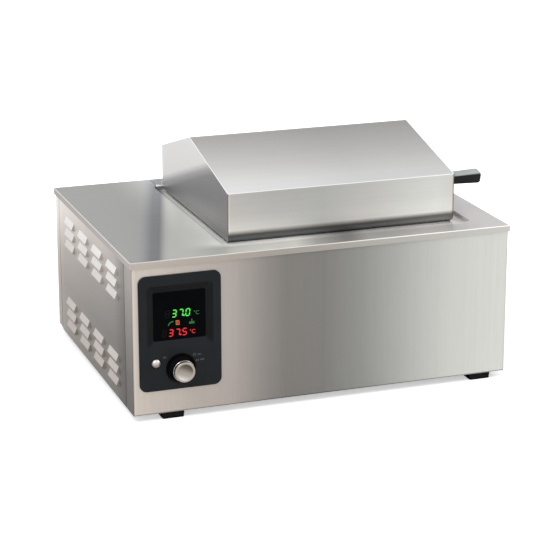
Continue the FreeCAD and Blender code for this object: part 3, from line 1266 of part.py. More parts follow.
def build():
    os.makedirs("parts", exist_ok=True)
    pieces = {
        "base_plate": base_plate(),
        "front_panel": front_panel(),
        "rear_panel": rear_panel(),
        "louvred_side_panel": louvred_side_panel(),
        "right_side_panel": side_panel(1),
        "top_deck": top_deck(),
        "rear_panel_screws": rear_panel_screws(),
        "foot_screws": foot_screws(),
        "bath_tub": bath_tub(),
        "perforated_tray": perforated_tray(),
        "left_heater": side_heater(-1),
        "right_heater": side_heater(1),
        "bottom_heater": bottom_heater(),
        "tub_insulation": tub_insulation(),
        "temperature_probe": wall_probe(PROBE_BACK, PROBE_UP, PROBE_IN),
        "level_probe": wall_probe(LEVEL_BACK, LEVEL_UP, LEVEL_IN),
        "compartment_wall": compartment_wall(),
        "power_board": power_board(),
        "power_board_spacers": board_spacers(),
        "transformer": transformer(),
        "power_relay": power_relay(),
        "heat_sink": heat_sink(),
        "terminal_block": terminal_block(),
        "control_bezel": control_bezel(),
        "display_window": display_window(),
        "display_module": display_module(),
        "front_board": front_board(),
        "front_board_spacers": front_board_spacers(),
        "front_board_screws": front_board_screws(),
        "encoder_housing": encoder_housing(),
        "encoder_rotor": encoder_rotor(),
        "knob_shaft": knob_shaft(),
        "knob_skirt": knob_skirt(),
        "knob_ring": knob_ring(),
        "knob_cap": knob_cap(),
        "set_button": set_button(),
        "button_switch": button_switch(),
        "mains_inlet": mains_inlet(),
        "inlet_blades": inlet_blades(),
        "inlet_screws": inlet_screws(),
        "drain_pipe": drain_pipe(),
        "valve_body": valve_body(),
        "valve_ball": valve_ball(),
        "valve_stem": valve_stem(),
        "valve_lever": valve_lever(),
        "lever_nut": lever_nut(),
        "hose_nozzle": hose_nozzle(),
        "lid_shell": lid_shell(),
        "lid_left_gable": lid_left_gable(),
        "lid_right_gable": lid_right_gable(),
        "lid_handle": lid_handle(),
        "handle_washer": handle_washer(),
        "handle_screw": handle_screw(),
        "hinge_rod": hinge_rod(),
        "left_hinge_bearing": hinge_bearing(-1),
        "right_hinge_bearing": hinge_bearing(1),
    }
    for name, (x, y) in zip(FOOT_NAMES, FEET):
        pieces[name] = foot(x, y)
    for name, shape in pieces.items():
        save(name, shape)


build()
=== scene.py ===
"""Looks of a laboratory water bath: brushed stainless sheet, a black control panel with lit
figures, a black plastic grip, rubber feet and plain soft studio light."""
import math

import bpy
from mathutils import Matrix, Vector


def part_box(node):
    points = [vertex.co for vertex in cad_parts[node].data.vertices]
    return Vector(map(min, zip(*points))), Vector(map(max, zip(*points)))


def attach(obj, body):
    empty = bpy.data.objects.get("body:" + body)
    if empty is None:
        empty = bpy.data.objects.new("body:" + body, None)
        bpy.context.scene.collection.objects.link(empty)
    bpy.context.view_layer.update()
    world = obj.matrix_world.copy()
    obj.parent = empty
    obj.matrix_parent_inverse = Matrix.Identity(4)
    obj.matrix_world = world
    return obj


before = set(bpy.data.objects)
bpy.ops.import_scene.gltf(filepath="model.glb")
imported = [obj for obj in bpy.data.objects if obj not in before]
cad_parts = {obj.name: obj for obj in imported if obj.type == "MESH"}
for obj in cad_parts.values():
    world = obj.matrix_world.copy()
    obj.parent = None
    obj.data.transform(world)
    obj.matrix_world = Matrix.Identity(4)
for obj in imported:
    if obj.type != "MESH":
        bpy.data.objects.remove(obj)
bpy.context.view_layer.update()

MM = 0.001
IMAGE = 546               # width and height of the picture, in pixels
SENSOR = 36.0             # camera sensor, in millimetres

# Camera, in degrees, metres and pixels
CAM_TURN = -19.66
CAM_RISE = 17.1
CAM_FAR = 3.1027
CAM_FOCAL_PX = 2012.9
CAM_AIM = Vector((-0.00102, -0.025, 0.13093))

# Floor: light is added to its white, FLOOR_LIFT near the object and all of it from FLOOR_FAR on
FLOOR_NEAR, FLOOR_FAR, FLOOR_LIFT = 0.4, 0.9, 0.5
FLOOR_HALF = 12.0
FLOOR_WHITE = (240, 240, 240)

# Light
AMBIENT = 0.62            # white surroundings as matt faces get them; camera and mirrors see 1
LAMP_AIM = (0, 0, 0.15)

# How far the lit marks and the prints stand off the surface under them
ON_WINDOW, ON_BEZEL = 0.00012, 0.00005

# Main places, from the frame
PANEL_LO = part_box("front_panel")[0]
BEZEL_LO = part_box("control_bezel")[0]
WINDOW_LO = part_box("display_window")[0]
KNOB_LO, KNOB_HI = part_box("knob_cap")


# Node helpers

def srgb(red, green, blue):
    """A colour written as it looks on screen, 0 to 255, as linear values."""
    linear = []
    for value in (red, green, blue):
        v = value / 255
        linear.append(v / 12.92 if v <= 0.04045 else ((v + 0.055) / 1.055) ** 2.4)
    return (*linear, 1.0)


class Surface:
    """One material and the few node patterns that the surfaces here are made of."""

    def __init__(self, name, color=(128, 128, 128), metallic=0.0, roughness=0.4):
        self.material = bpy.data.materials.new(name)
        self.material.use_nodes = True
        self.nodes = self.material.node_tree.nodes
        self.links = self.material.node_tree.links
        self.bsdf = self.nodes["Principled BSDF"]
        self.bsdf.inputs["Base Color"].default_value = srgb(*color)
        self.bsdf.inputs["Metallic"].default_value = metallic
        self.bsdf.inputs["Roughness"].default_value = roughness
        coordinates = self.nodes.new("ShaderNodeTexCoord")
        self.place = coordinates.outputs["Object"]
        self.normal = coordinates.outputs["Normal"]

    def link(self, source, target):
        self.links.new(source, target)

    def math(self, operation, first, second=None):
        """A maths node; first and second may be outputs or numbers."""
        node = self.nodes.new("ShaderNodeMath")
        node.operation = operation
        for index, value in enumerate((first, second)):
            if value is None:
                continue
            if isinstance(value, (int, float)):
                node.inputs[index].default_value = value
            else:
                self.links.new(value, node.inputs[index])
        return node.outputs[0]

    def hypotenuse(self, first, second):
        """The length of a line from its two sides."""
        squares = [self.math("MULTIPLY", side, side) for side in (first, second)]
        return self.math("SQRT", self.math("ADD", *squares))

    def along(self, direction, origin=(0, 0, 0)):
        """Distance in metres along a direction."""
        shift = self.nodes.new("ShaderNodeVectorMath")
        shift.operation = "SUBTRACT"
        self.links.new(self.place, shift.inputs[0])
        shift.inputs[1].default_value = origin
        return self.dot(shift.outputs[0], direction)

    def dot(self, vector, direction):
        node = self.nodes.new("ShaderNodeVectorMath")
        node.operation = "DOT_PRODUCT"
        self.links.new(vector, node.inputs[0])
        node.inputs[1].default_value = direction
        return node.outputs["Value"]

    def facing(self, direction, low, high):
        """0 to 1 as a face turns towards a direction, given as a unit vector."""
        return self.map(self.dot(self.normal, direction), low, high, 0, 1)

    def blend(self, first, second, factor):
        node = self.nodes.new("ShaderNodeMix")
        node.data_type = "RGBA"
        self.links.new(factor, node.inputs["Factor"])
        sockets = [socket for socket in node.inputs if socket.type == "RGBA"]
        self.links.new(first, sockets[0])
        self.links.new(second, sockets[1])
        return next(socket for socket in node.outputs if socket.type == "RGBA")

    def ramp(self, value, stops):
        """Colours at values, each stop being (value, (red, green, blue))."""
        low, high = stops[0][0], stops[-1][0]
        spread = self.nodes.new("ShaderNodeMapRange")
        spread.inputs["From Min"].default_value = low
        spread.inputs["From Max"].default_value = high
        self.links.new(value, spread.inputs["Value"])
        node = self.nodes.new("ShaderNodeValToRGB")
        node.color_ramp.interpolation = "LINEAR"
        elements = node.color_ramp.elements
        while len(elements) < len(stops):
            elements.new(0.5)
        for element, (at, color) in zip(elements, stops):
            element.position = (at - low) / (high - low)
            element.color = srgb(*color)
        self.links.new(spread.outputs["Result"], node.inputs["Fac"])
        return node.outputs["Color"]

    def noise(self, scale, stretch, detail, roughness):
        mapping = self.nodes.new("ShaderNodeMapping")
        mapping.inputs["Scale"].default_value = stretch
        self.links.new(self.place, mapping.inputs["Vector"])
        node = self.nodes.new("ShaderNodeTexNoise")
        node.inputs["Scale"].default_value = scale
        node.inputs["Detail"].default_value = detail
        node.inputs["Roughness"].default_value = roughness
        self.links.new(mapping.outputs["Vector"], node.inputs["Vector"])
        return node.outputs["Fac"]

    def map(self, value, low, high, to_low, to_high):
        node = self.nodes.new("ShaderNodeMapRange")
        limits = {"From Min": low, "From Max": high, "To Min": to_low, "To Max": to_high}
        for name, number in limits.items():
            node.inputs[name].default_value = number
        self.links.new(value, node.inputs["Value"])
        return node.outputs["Result"]

    def times(self, color, factor):
        """A colour made darker or lighter by a factor near 1."""
        node = self.nodes.new("ShaderNodeVectorMath")
        node.operation = "SCALE"
        self.links.new(color, node.inputs[0])
        self.links.new(factor, node.inputs["Scale"])
        return node.outputs[0]

    def plain(self, color):
        """A plain colour as an output, to be varied by patterns."""
        node = self.nodes.new("ShaderNodeRGB")
        node.outputs[0].default_value = srgb(*color)
        return node.outputs[0]

    def paint(self, color):
        self.link(color, self.bsdf.inputs["Base Color"])

    def bump(self, height, distance):
        node = self.nodes.new("ShaderNodeBump")
        node.inputs["Distance"].default_value = distance
        node.inputs["Strength"].default_value = 1.0
        self.link(height, node.inputs["Height"])
        self.link(node.outputs["Normal"], self.bsdf.inputs["Normal"])

    def rough(self, value):
        self.link(value, self.bsdf.inputs["Roughness"])


# How far a grain runs along its line compared with across it
GRAIN = {"x": (0.012, 1, 1), "y": (1, 0.012, 1), "z": (1, 1, 0.012)}
LEFT, FRONT, UP = (-1, 0, 0), (0, -1, 0), (0, 0, 1)
FRONT_BEND = (0, -0.707, 0.707)
LEFT_BEND = (-0.707, 0, 0.707)


def brushed(name, tone, grain="z", streak=0.04, gain=1.0):
    """Brushed sheet: fine lines along the grain, wider faint streaks, and a soft tone."""
    s = Surface(name, metallic=0.6)
    fine = s.noise(1900, GRAIN[grain], 4.0, 0.7)
    wide = s.noise(160, GRAIN[grain], 3.0, 0.5)
    cloud = s.noise(7, (1, 1, 1), 2.0, 0.5)
    lines = s.map(fine, 0.3, 0.7, gain * (1 - streak), gain * (1 + streak))
    streaks = s.map(wide, 0.3, 0.7, -streak * 0.5, streak * 0.5)
    clouds = s.map(cloud, 0.3, 0.7, -0.012, 0.012)
    s.paint(s.times(tone(s), s.math("ADD", s.math("ADD", lines, streaks), clouds)))
    s.rough(s.map(fine, 0.3, 0.7, 0.3, 0.44))
    s.bump(s.math("ADD", fine, s.math("MULTIPLY", wide, 0.3)), 0.00003)
    return s.material


def in_metres(stops):
    return [(at * MM, color) for at, color in stops]


def gradient(direction, stops):
    """A tone that changes along one direction; positions are in millimetres."""
    def tone(s):
        return s.ramp(s.along(direction), in_metres(stops))
    return tone


def shaded(tone, direction, stops):
    """A tone made darker or lighter along a direction; each stop is (millimetres, factor)."""
    def result(s):
        color, place = tone(s), s.along(direction)
        for (low, before), (high, after) in zip(stops, stops[1:]):
            color = s.times(color, s.map(place, low * MM, high * MM, 1.0, after / before))
        return s.times(color, s.math("ADD", 0.0, stops[0][1]))
    return result


def even(color):
    def tone(s):
        return s.plain(color)
    return tone


def by_facing(base, *others):
    """A tone with others over it, each (direction, from, to, tone) on the faces turned that way."""
    def result(s):
        color = base(s)
        for direction, low, high, tone in others:
            color = s.blend(color, tone(s), s.facing(direction, low, high))
        return color
    return result


def below(base, high, low, tone):
    """A tone with another over it from a height down; heights are in millimetres."""
    def result(s):
        return s.blend(base(s), tone(s), s.map(s.along(UP), high * MM, low * MM, 0, 1))
    return result


def moulded(name, tone, roughness, grain=1400, depth=0.00004, shine=0.5):
    """Moulded plastic: a fine spark-eroded grain and a faint mottling."""
    s = Surface(name, roughness=roughness)
    s.bsdf.inputs["Specular IOR Level"].default_value = shine
    fine = s.noise(grain, (1, 1, 1), 3.0, 0.6)
    cloud = s.noise(40, (1, 1, 1), 2.0, 0.5)
    s.paint(s.times(tone(s), s.map(cloud, 0.3, 0.7, 0.88, 1.12)))
    s.rough(s.map(fine, 0.3, 0.7, roughness - 0.05, roughness + 0.07))
    s.bump(fine, depth)
    return s.material


def polished(name, color, roughness=0.14):
    """Turned or polished metal with the faintest lines."""
    s = Surface(name, metallic=1.0)
    fine = s.noise(2600, (1, 1, 1), 2.0, 0.5)
    s.paint(s.times(s.plain(color), s.map(fine, 0.3, 0.7, 0.96, 1.04)))
    s.rough(s.map(fine, 0.3, 0.7, roughness * 0.8, roughness * 1.3))
    s.bump(fine, 0.00001)
    return s.material


def dress(material, *names):
    for name in names:
        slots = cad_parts[name].material_slots
        for slot in slots:
            slot.material = material


# Surfaces of the sheet parts

# Tones along one direction, each stop (millimetres, colour) or (millimetres, factor); they paint the
# sheets' reflections, highlights and shade
# Painted reflection across the front: light at the left, dark in the middle, light at the right, with a
# dark line and a painted highlight at the left edge and a warm painted highlight at the right edge
FRONT_PAINTED_REFLECTION = [(-288, (128, 116, 104)), (-286.6, (128, 116, 104)), (-286, (222, 212, 202)),
               (-283, (208, 198, 188)), (-140, (177, 169, 163)), (-90, (146, 141, 136)),
               (-60, (131, 127, 123)), (0, (129, 128, 124)), (60, (148, 148, 144)),
               (100, (168, 168, 164)), (150, (190, 191, 186)), (200, (208, 208, 203)),
               (288, (219, 220, 214)), (289.4, (196, 188, 178))]
# Painted shade: a dark line along the bottom edge, and the front a little lighter just above it
FRONT_PAINTED_SHADE_UP = [(11, 0.5), (12.2, 0.5), (12.8, 1.04), (60, 1.02), (232, 1.0)]
# Painted shade on the left post: darker towards the bottom
POST_PAINTED_SHADE = [(11, (98, 94, 90)), (60, (103, 99, 95)), (140, (136, 131, 127)),
              (232, (176, 170, 165))]
# Painted light and shade on the sides: darker low down and towards the front, lighter up high and
# towards the back
SIDE_PAINTED_LIGHT = [(11, (133, 127, 121)), (95, (134, 128, 123)), (150, (158, 151, 146)),
              (221, (212, 204, 198)), (237, (220, 213, 207))]
SIDE_LIGHT_TOWARDS_BACK = [(-206, 0.4), (-190, 0.52), (-150, 0.88), (-102, 1.0), (0, 1.17), (100, 1.45),
             (150, 1.6), (190, 2.2)]
# Painted highlights on the upper faces of the louvre hoods, and painted shade on their front ends
HOOD_HIGHLIGHTS = [(25, (196, 187, 180)), (75, (214, 206, 201)), (160, (230, 223, 218)),
              (208, (252, 249, 246))]
HOOD_END_SHADE = [(25, (112, 104, 97)), (208, (156, 147, 140))]
# Painted reflections on the deck, in light and dark bands
DECK_REFLECTION_BANDS = [(-290, (152, 152, 150)), (-215, (150, 150, 149)), (-195, (146, 146, 145)),
             (-188, (134, 135, 136)), (-177, (98, 100, 103)), (-166, (92, 94, 97)),
             (-157, (164, 164, 161)), (-150, (174, 174, 170)), (-137, (177, 177, 173)),
             (-118, (187, 188, 183)), (-88, (198, 199, 194)), (-60, (210, 211, 206)),
             (-20, (226, 226, 221)), (30, (232, 231, 226)), (60, (182, 181, 178)),
             (100, (130, 129, 127)), (112, (130, 129, 127)), (135, (168, 167, 165)),
             (185, (170, 169, 168)), (221, (182, 180, 179)), (259, (176, 174, 174)),
             (297, (196, 193, 192)), (400, (202, 198, 198))]
# Painted reflection along the deck's front lip
LIP_REFLECTION = [(-292, (194, 184, 176)), (-150, (182, 174, 165)), (-80, (172, 166, 158)),
             (20, (174, 170, 163)), (150, (196, 193, 186)), (290, (212, 210, 204))]
# Painted highlight along the deck's front bend
BEND_HIGHLIGHTS = [(-292, (214, 208, 200)), (0, (222, 218, 210)), (120, (255, 255, 252)),
              (292, (255, 255, 252))]
# The deck's faces turned left: the left lip, and the recess's right wall, made lighter towards it with
# painted light against its shade
WALL_TONES_AND_LIGHT = [(-292, (190, 183, 178)), (-280, (190, 183, 178)), (240, (255, 250, 240)),
              (250, (255, 250, 240))]
# Painted reflection across the lid's front wall, with painted highlights at its edges, and painted
# light that makes it lighter just above the roll
LID_FRONT_REFLECTION = [(-125, (206, 199, 191)), (-123.6, (206, 199, 191)), (-122.8, (187, 184, 180)),
             (-60, (176, 175, 172)), (20, (176, 176, 173)), (100, (193, 192, 188)),
             (200, (216, 217, 212)), (225, (212, 211, 205)), (226.5, (186, 174, 160))]
LID_FRONT_LIGHT_UP = [(246, 1.17), (250, 1.5), (260, 1.38), (275, 1.18), (300, 1.09)]
ROLL_SHADE_SOFT = (252, 245)          # heights between which painted shade turns the lid's front roll brownish
ROLL_SHADE_DARK = (245.5, 244.5)      # and those between which the painted shade grows dark
# Painted shade on the roll, along X
ROLL_SHADE_TONES = [(-126, (76, 78, 78)), (100, (84, 85, 84)), (226, (122, 123, 119))]
# Painted reflection along the roof, with a painted highlight along its left edge
ROOF_REFLECTION = [(-182, (207, 208, 208)), (-150, (203, 203, 202)), (-110, (188, 187, 185)),
              (-60, (171, 170, 168)), (-8, (154, 153, 151)), (10, (164, 163, 161)),
              (150, (192, 191, 189))]
ROOF_LIGHT_ACROSS = [(-126, 1.2), (0, 1.08), (80, 0.98), (228, 0.98)]
# Painted reflection on the gables: dark below a slanting line, light above it
GABLE_REFLECTION = [(190, (104, 102, 102)), (225, (130, 129, 130)), (282, (136, 135, 137)),
               (293, (168, 166, 168)), (304, (222, 220, 219)), (420, (228, 225, 224))]
REFLECTION_ACROSS = (0.9563, -0.2923, 0)     # across the painted reflection bands on the deck
PAINTED_HIGHLIGHT = even((246, 245, 243))  # painted highlight on bends and edges

# Deck near the lid: painted light against the shade the lid casts raises its tone by LIFT_BESIDE times
# itself.
# In millimetres, this fades in across LIFT_LEFT and LIFT_FRONT and out across LIFT_RIGHT
LIFT_LEFT, LIFT_FRONT, LIFT_RIGHT = (-215, -130), (-216, -192), (215, 235)
LIFT_BESIDE = 1.3

# Lines along the recess's left edge, a dark painted shade line and a pale painted highlight: where each
# begins, is full, begins to end, and ends
RECESS_FRONT = (-196, -190)
RECESS_SHADE_LINE, RECESS_HIGHLIGHT_LINE = (-135, -134, -132, -131), (-138.5, -138, -136, -135)


def step(s, place, edges, low=0, high=1):
    """From one value to another as a place goes from one edge to the next."""
    return s.map(place, edges[0] * MM, edges[1] * MM, low, high)


def stripe(s, place, edges, height):
    """A stripe that rises between its first two edges and falls between its last two."""
    return s.math("MULTIPLY", step(s, place, edges[:2]), step(s, place, edges[2:], height, 0))


def deck_top(s):
    """The deck's painted reflection bands, with painted light beside the lid against the shade it
    casts, and a painted shade line and a painted highlight along the recess's edge.
    """
    across, back = s.along((1, 0, 0)), s.along((0, 1, 0))
    near = step(s, across, LIFT_LEFT)
    near = s.math("MULTIPLY", s.math("MULTIPLY", near, near), step(s, back, LIFT_FRONT))
    near = s.math("MULTIPLY", near, step(s, across, LIFT_RIGHT, LIFT_BESIDE, 0))
    lines = s.math("ADD", stripe(s, across, RECESS_SHADE_LINE, -0.3), stripe(s, across, RECESS_HIGHLIGHT_LINE, 0.14))
    lines = s.math("MULTIPLY", lines, step(s, back, RECESS_FRONT))
    color = s.times(gradient(REFLECTION_ACROSS, DECK_REFLECTION_BANDS)(s), s.math("ADD", near, 1.0))
    return s.times(color, s.math("ADD", lines, 1.0))


def front_sheet():
    front = shaded(gradient((1, 0, 0), FRONT_PAINTED_REFLECTION), UP, FRONT_PAINTED_SHADE_UP)
    front = by_facing(front, (LEFT, 0.6, 0.8, gradient(UP, POST_PAINTED_SHADE)))
    dress(brushed("front_sheet", front, gain=1.06), "front_panel")


def side_sheet():
    """The side panels and the back, with painted light and shade: painted highlights on the louvre
    hoods and painted shade on the hood ends.
    """
    side = by_facing(shaded(gradient(UP, SIDE_PAINTED_LIGHT), (0, 1, 0), SIDE_LIGHT_TOWARDS_BACK),
                     (UP, 0.1, 0.3, gradient(UP, HOOD_HIGHLIGHTS)),
                     (FRONT, 0.35, 0.6, gradient(UP, HOOD_END_SHADE)))
    dress(brushed("side_sheet", side), "louvred_side_panel", "right_side_panel", "rear_panel")


def deck_sheet():
    deck = by_facing(deck_top,
                     (FRONT, 0.85, 0.95, gradient((1, 0, 0), LIP_REFLECTION)),
                     (LEFT, 0.85, 0.95, gradient((1, 0, 0), WALL_TONES_AND_LIGHT)),
                     (FRONT_BEND, 0.85, 0.95, gradient((1, 0, 0), BEND_HIGHLIGHTS)),
                     (LEFT_BEND, 0.9, 0.98, PAINTED_HIGHLIGHT))
    dress(brushed("deck_sheet", deck, "x", streak=0.03), "top_deck")


def lid_sheet():
    # Painted reflections on the front wall and roof, a painted highlight on the eave bend, and painted
    # shade on the rolled lower edge
    wall = shaded(gradient((1, 0, 0), LID_FRONT_REFLECTION), UP, LID_FRONT_LIGHT_UP)
    roof = shaded(gradient((0, 1, 0), ROOF_REFLECTION), (1, 0, 0), ROOF_LIGHT_ACROSS)
    lid = by_facing(roof, (FRONT, 0.75, 0.9, wall), (FRONT_BEND, 0.93, 0.98, PAINTED_HIGHLIGHT))
    lid = below(lid, *ROLL_SHADE_SOFT, even((104, 96, 90)))
    lid = below(lid, *ROLL_SHADE_DARK, gradient((1, 0, 0), ROLL_SHADE_TONES))
    dress(brushed("lid_sheet", lid, "x", streak=0.03), "lid_shell")


def gable_sheet():
    # Painted reflection on the gables, with a painted highlight on their upper edges
    gable = by_facing(gradient((0, 0.33, 1), GABLE_REFLECTION),
                      (UP, 0.6, 0.9, PAINTED_HIGHLIGHT),
                      (FRONT, 0.8, 0.95, even((80, 78, 76))))
    gable = brushed("gable_sheet", gable, "y", streak=0.03, gain=1.37)
    dress(gable, "lid_left_gable", "lid_right_gable")


def inner_sheets():
    dress(brushed("base_sheet", even((150, 148, 145)), "x"), "base_plate")
    dress(brushed("tub_sheet", even((186, 183, 177)), "z", streak=0.03), "bath_tub")
    dress(brushed("tray_sheet", even((182, 182, 180)), "x", streak=0.03), "perforated_tray")
    dress(brushed("zinc_sheet", even((150, 150, 152)), "z"), "compartment_wall")


# Painted reflection on the knob's cap: a painted highlight round the rim, and a dish with painted shade
# above and a painted highlight below
KNOB_RIM_HIGHLIGHT = [(0, (190, 180, 168)), (12.6, (190, 180, 168)), (14.6, (178, 168, 156)),
            (15.2, (120, 108, 96))]
KNOB_DISH_REFLECTION = [(-11, (82, 78, 72)), (-6, (108, 104, 98)), (0, (172, 160, 149)), (5, (178, 174, 167)),
             (11, (226, 222, 214))]
KNOB_REFLECTION_WAY = (-0.45, 0, -0.893)  # the way the dish's painted reflection grows lighter
KNOB_DISH_EDGE = (11.4, 12.2)
KNOB_RINGS = 16000              # turned rings, in radians for each metre of radius


def knob_face():
    """Turned metal with painted reflection: a painted highlight on the rim, round a dish with painted
    shade above and a painted highlight below.
    """
    s = Surface("knob_silver", metallic=0.8)
    middle = (KNOB_LO + KNOB_HI) / 2
    radius = s.hypotenuse(s.along((1, 0, 0), middle), s.along(UP, middle))
    rim = s.ramp(radius, in_metres(KNOB_RIM_HIGHLIGHT))
    dish = s.ramp(s.along(KNOB_REFLECTION_WAY, middle), in_metres(KNOB_DISH_REFLECTION))
    color = s.blend(dish, rim, step(s, radius, KNOB_DISH_EDGE))
    specks = s.noise(2600, (1, 1, 1), 2.0, 0.5)
    turned = s.math("SINE", s.math("MULTIPLY", radius, KNOB_RINGS))
    shade = s.math("ADD", s.map(specks, 0.3, 0.7, 0.96, 1.04), s.map(turned, -1, 1, -0.03, 0.03))
    s.paint(s.times(color, shade))
    s.rough(s.map(specks, 0.3, 0.7, 0.24, 0.36))
    s.bump(turned, 0.000006)
    return s.material


def button_face():
    """A small domed button, lighter above with painted light and tan below with painted shade."""
    s = Surface("button_silver", metallic=0.7)
    fine = s.noise(2600, (1, 1, 1), 2.0, 0.5)
    lower = s.plain((140, 124, 110))
    color = s.blend(lower, s.plain((226, 222, 216)), s.facing(UP, -0.45, 0.35))
    s.paint(s.times(color, s.map(fine, 0.3, 0.7, 0.96, 1.04)))
    s.rough(s.map(fine, 0.3, 0.7, 0.28, 0.38))
    s.bump(fine, 0.00001)
    return s.material


def dress_metal():
    dress(polished("bright_steel", (196, 195, 193)), "hinge_rod", "left_hinge_bearing",
          "right_hinge_bearing", "temperature_probe", "level_probe", "drain_pipe", "valve_ball",
          "valve_stem", "knob_shaft")
    dress(polished("screw_steel", (170, 169, 167), 0.22), "rear_panel_screws", "foot_screws",
          "inlet_screws", "front_board_screws", "lever_nut", "handle_washer", "handle_screw")
    dress(polished("nickel_brass", (190, 184, 170), 0.2), "valve_body", "hose_nozzle")
    dress(polished("tinned_blade", (176, 170, 158), 0.25), "inlet_blades")
    dress(polished("knob_ring_silver", (205, 203, 200), 0.24), "knob_ring")
    dress(knob_face(), "knob_cap")
    dress(button_face(), "set_button")
    dress(polished("spacer_brass", (190, 160, 96), 0.25), "power_board_spacers", "front_board_spacers")
    dress(polished("sink_aluminium", (172, 172, 174), 0.35), "heat_sink")


def bezel_plastic():
    """The control panel, with painted light on its upward faces and painted shade darkening the other
    slopes round its window.
    """
    tone = by_facing(even((9, 11, 13)), (UP, 0.25, 0.4, even((21, 24, 27))),
                     (FRONT, 0.92, 0.99, even((26, 30, 33))))
    return moulded("bezel_plastic", tone, 0.45, shine=0.16)


def handle_plastic():
    """The black grip, with a painted reflection of the room on its upper faces."""
    tone = by_facing(even((8, 9, 10)), (UP, 0.3, 0.8, even((168, 172, 172))))
    return moulded("handle_plastic", tone, 0.3, 900, shine=0.3)


def dress_plastic():
    dress(bezel_plastic(), "control_bezel")
    dress(moulded("knob_plastic", even((10, 11, 12)), 0.34, shine=0.2), "knob_skirt")
    dress(handle_plastic(), "lid_handle")
    dress(moulded("foot_rubber", even((9, 10, 11)), 0.6, 700, 0.00008, shine=0.15),
          "front_left_foot", "front_right_foot", "rear_left_foot", "rear_right_foot")
    dress(moulded("inlet_plastic", even((22, 22, 23)), 0.4), "mains_inlet")
    dress(moulded("module_plastic", even((26, 26, 27)), 0.5), "display_module",
          "encoder_housing", "encoder_rotor", "power_relay", "button_switch")
    dress(moulded("circuit_board", even((22, 74, 46)), 0.42, 600), "power_board", "front_board")
    dress(moulded("terminal_plastic", even((46, 110, 74)), 0.45), "terminal_block")
    dress(moulded("transformer_iron", even((52, 49, 46)), 0.5, 300, 0.0001), "transformer")
    dress(moulded("heater_mat", even((136, 58, 44)), 0.6, 500, 0.0001), "left_heater",
          "right_heater", "bottom_heater")
    dress(moulded("insulation_felt", even((206, 202, 188)), 0.9, 240, 0.0006), "tub_insulation")
    dress(moulded("lever_paint", even((150, 26, 22)), 0.34), "valve_lever")
    dress(tinted_glass(), "display_window")


def tinted_glass():
    """The dark window: nearly black, with the faintest dust."""
    s = Surface("display_glass")
    s.bsdf.inputs["Specular IOR Level"].default_value = 0.03
    dust = s.noise(60, (1, 1, 1), 3.0, 0.6)
    s.paint(s.times(s.plain((3, 5, 6)), s.map(dust, 0.3, 0.7, 0.8, 1.2)))
    s.rough(s.map(dust, 0.3, 0.7, 0.08, 0.16))
    return s.material


# Lit figures and printed words

def panel_x(mm):
    """A place across the front, from the casing's left side."""
    return PANEL_LO.x + mm * MM


def panel_z(mm):
    """A height above the casing's underside."""
    return PANEL_LO.z + mm * MM


SEGMENTS = {                    # each bar of a figure: its ends, in widths and half heights
    "a": ((0, 2), (1, 2)), "b": ((1, 2), (1, 1)), "c": ((1, 1), (1, 0)), "d": ((0, 0), (1, 0)),
    "e": ((0, 1), (0, 0)), "f": ((0, 2), (0, 1)), "g": ((0, 1), (1, 1)),
}
FIGURES = {"0": "abcdef", "3": "abcdg", "5": "acdfg", "7": "abc", "8": "abcdefg"}
FIGURE_W, FIGURE_PITCH, FIGURE_BAR = 7.0, 10.0, 1.6
GREEN_ROW, RED_ROW = (58.4, 141.0, 11.6), (53.4, 113.0, 11.0)   # left, low and height
GREEN_UNIT, RED_UNIT = (91.4, 141.4, 6.0), (85.4, 113.8, 6.2)
BAR_GAP = 0.12            # free end of a bar, in bar widths
POINT_GAP, POINT_SIZE = 0.1, 0.7    # place and size of the point, in the gaps between figures
SLANT = 0.12              # how far a figure leans for its height


def mesh_piece(name, points, faces, material, body="casing"):
    mesh = bpy.data.meshes.new(name)
    mesh.from_pydata(points, [], faces)
    mesh.update()
    piece = bpy.data.objects.new(name, mesh)
    bpy.context.scene.collection.objects.link(piece)
    mesh.materials.append(material)
    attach(piece, body)


def flat_polygons(name, outlines, y, material):
    """Flat shapes that face the front, from outlines in X and Z."""
    points, faces = [], []
    for outline in outlines:
        start = len(points)
        points += [(x, y, z) for x, z in outline]
        faces.append(tuple(range(start, start + len(outline))))
    mesh_piece(name, points, faces, material)


def bar(start, end, thick):
    """A figure's bar with pointed ends."""
    (x0, z0), (x1, z1) = start, end
    length = math.hypot(x1 - x0, z1 - z0)
    ux, uz = (x1 - x0) / length, (z1 - z0) / length
    gap, half = thick * BAR_GAP, thick / 2
    x0, z0, x1, z1 = x0 + ux * gap, z0 + uz * gap, x1 - ux * gap, z1 - uz * gap
    ax, az, bx, bz = ux * half, uz * half, -uz * half, ux * half
    return [(x0, z0), (x0 + ax + bx, z0 + az + bz), (x1 - ax + bx, z1 - az + bz),
            (x1, z1), (x1 - ax - bx, z1 - az - bz), (x0 + ax - bx, z0 + az - bz)]


def figures(text, row, places=0):
    """Outlines of seven-bar figures with a square point, moved right by some places."""
    width, pitch, thick = FIGURE_W * MM, FIGURE_PITCH * MM, FIGURE_BAR * MM
    left, low, height = panel_x(row[0] + places * FIGURE_PITCH), panel_z(row[1]), row[2] * MM
    gap, inner_w, inner_h = pitch - width, width - thick, height - thick
    outlines = []
    x = left
    for mark in text:
        if mark == ".":
            dot, size = x - gap + gap * POINT_GAP, gap * POINT_SIZE
            outlines.append([(dot, low), (dot + size, low), (dot + size, low + size),
                             (dot, low + size)])
            continue
        for name in FIGURES[mark]:
            ends = []
            for across, up in SEGMENTS[name]:
                rise = up * inner_h / 2
                ends.append((x + thick / 2 + across * inner_w + SLANT * rise, low + rise))
            outlines.append(bar(*ends, thick))
        x += pitch
    return outlines


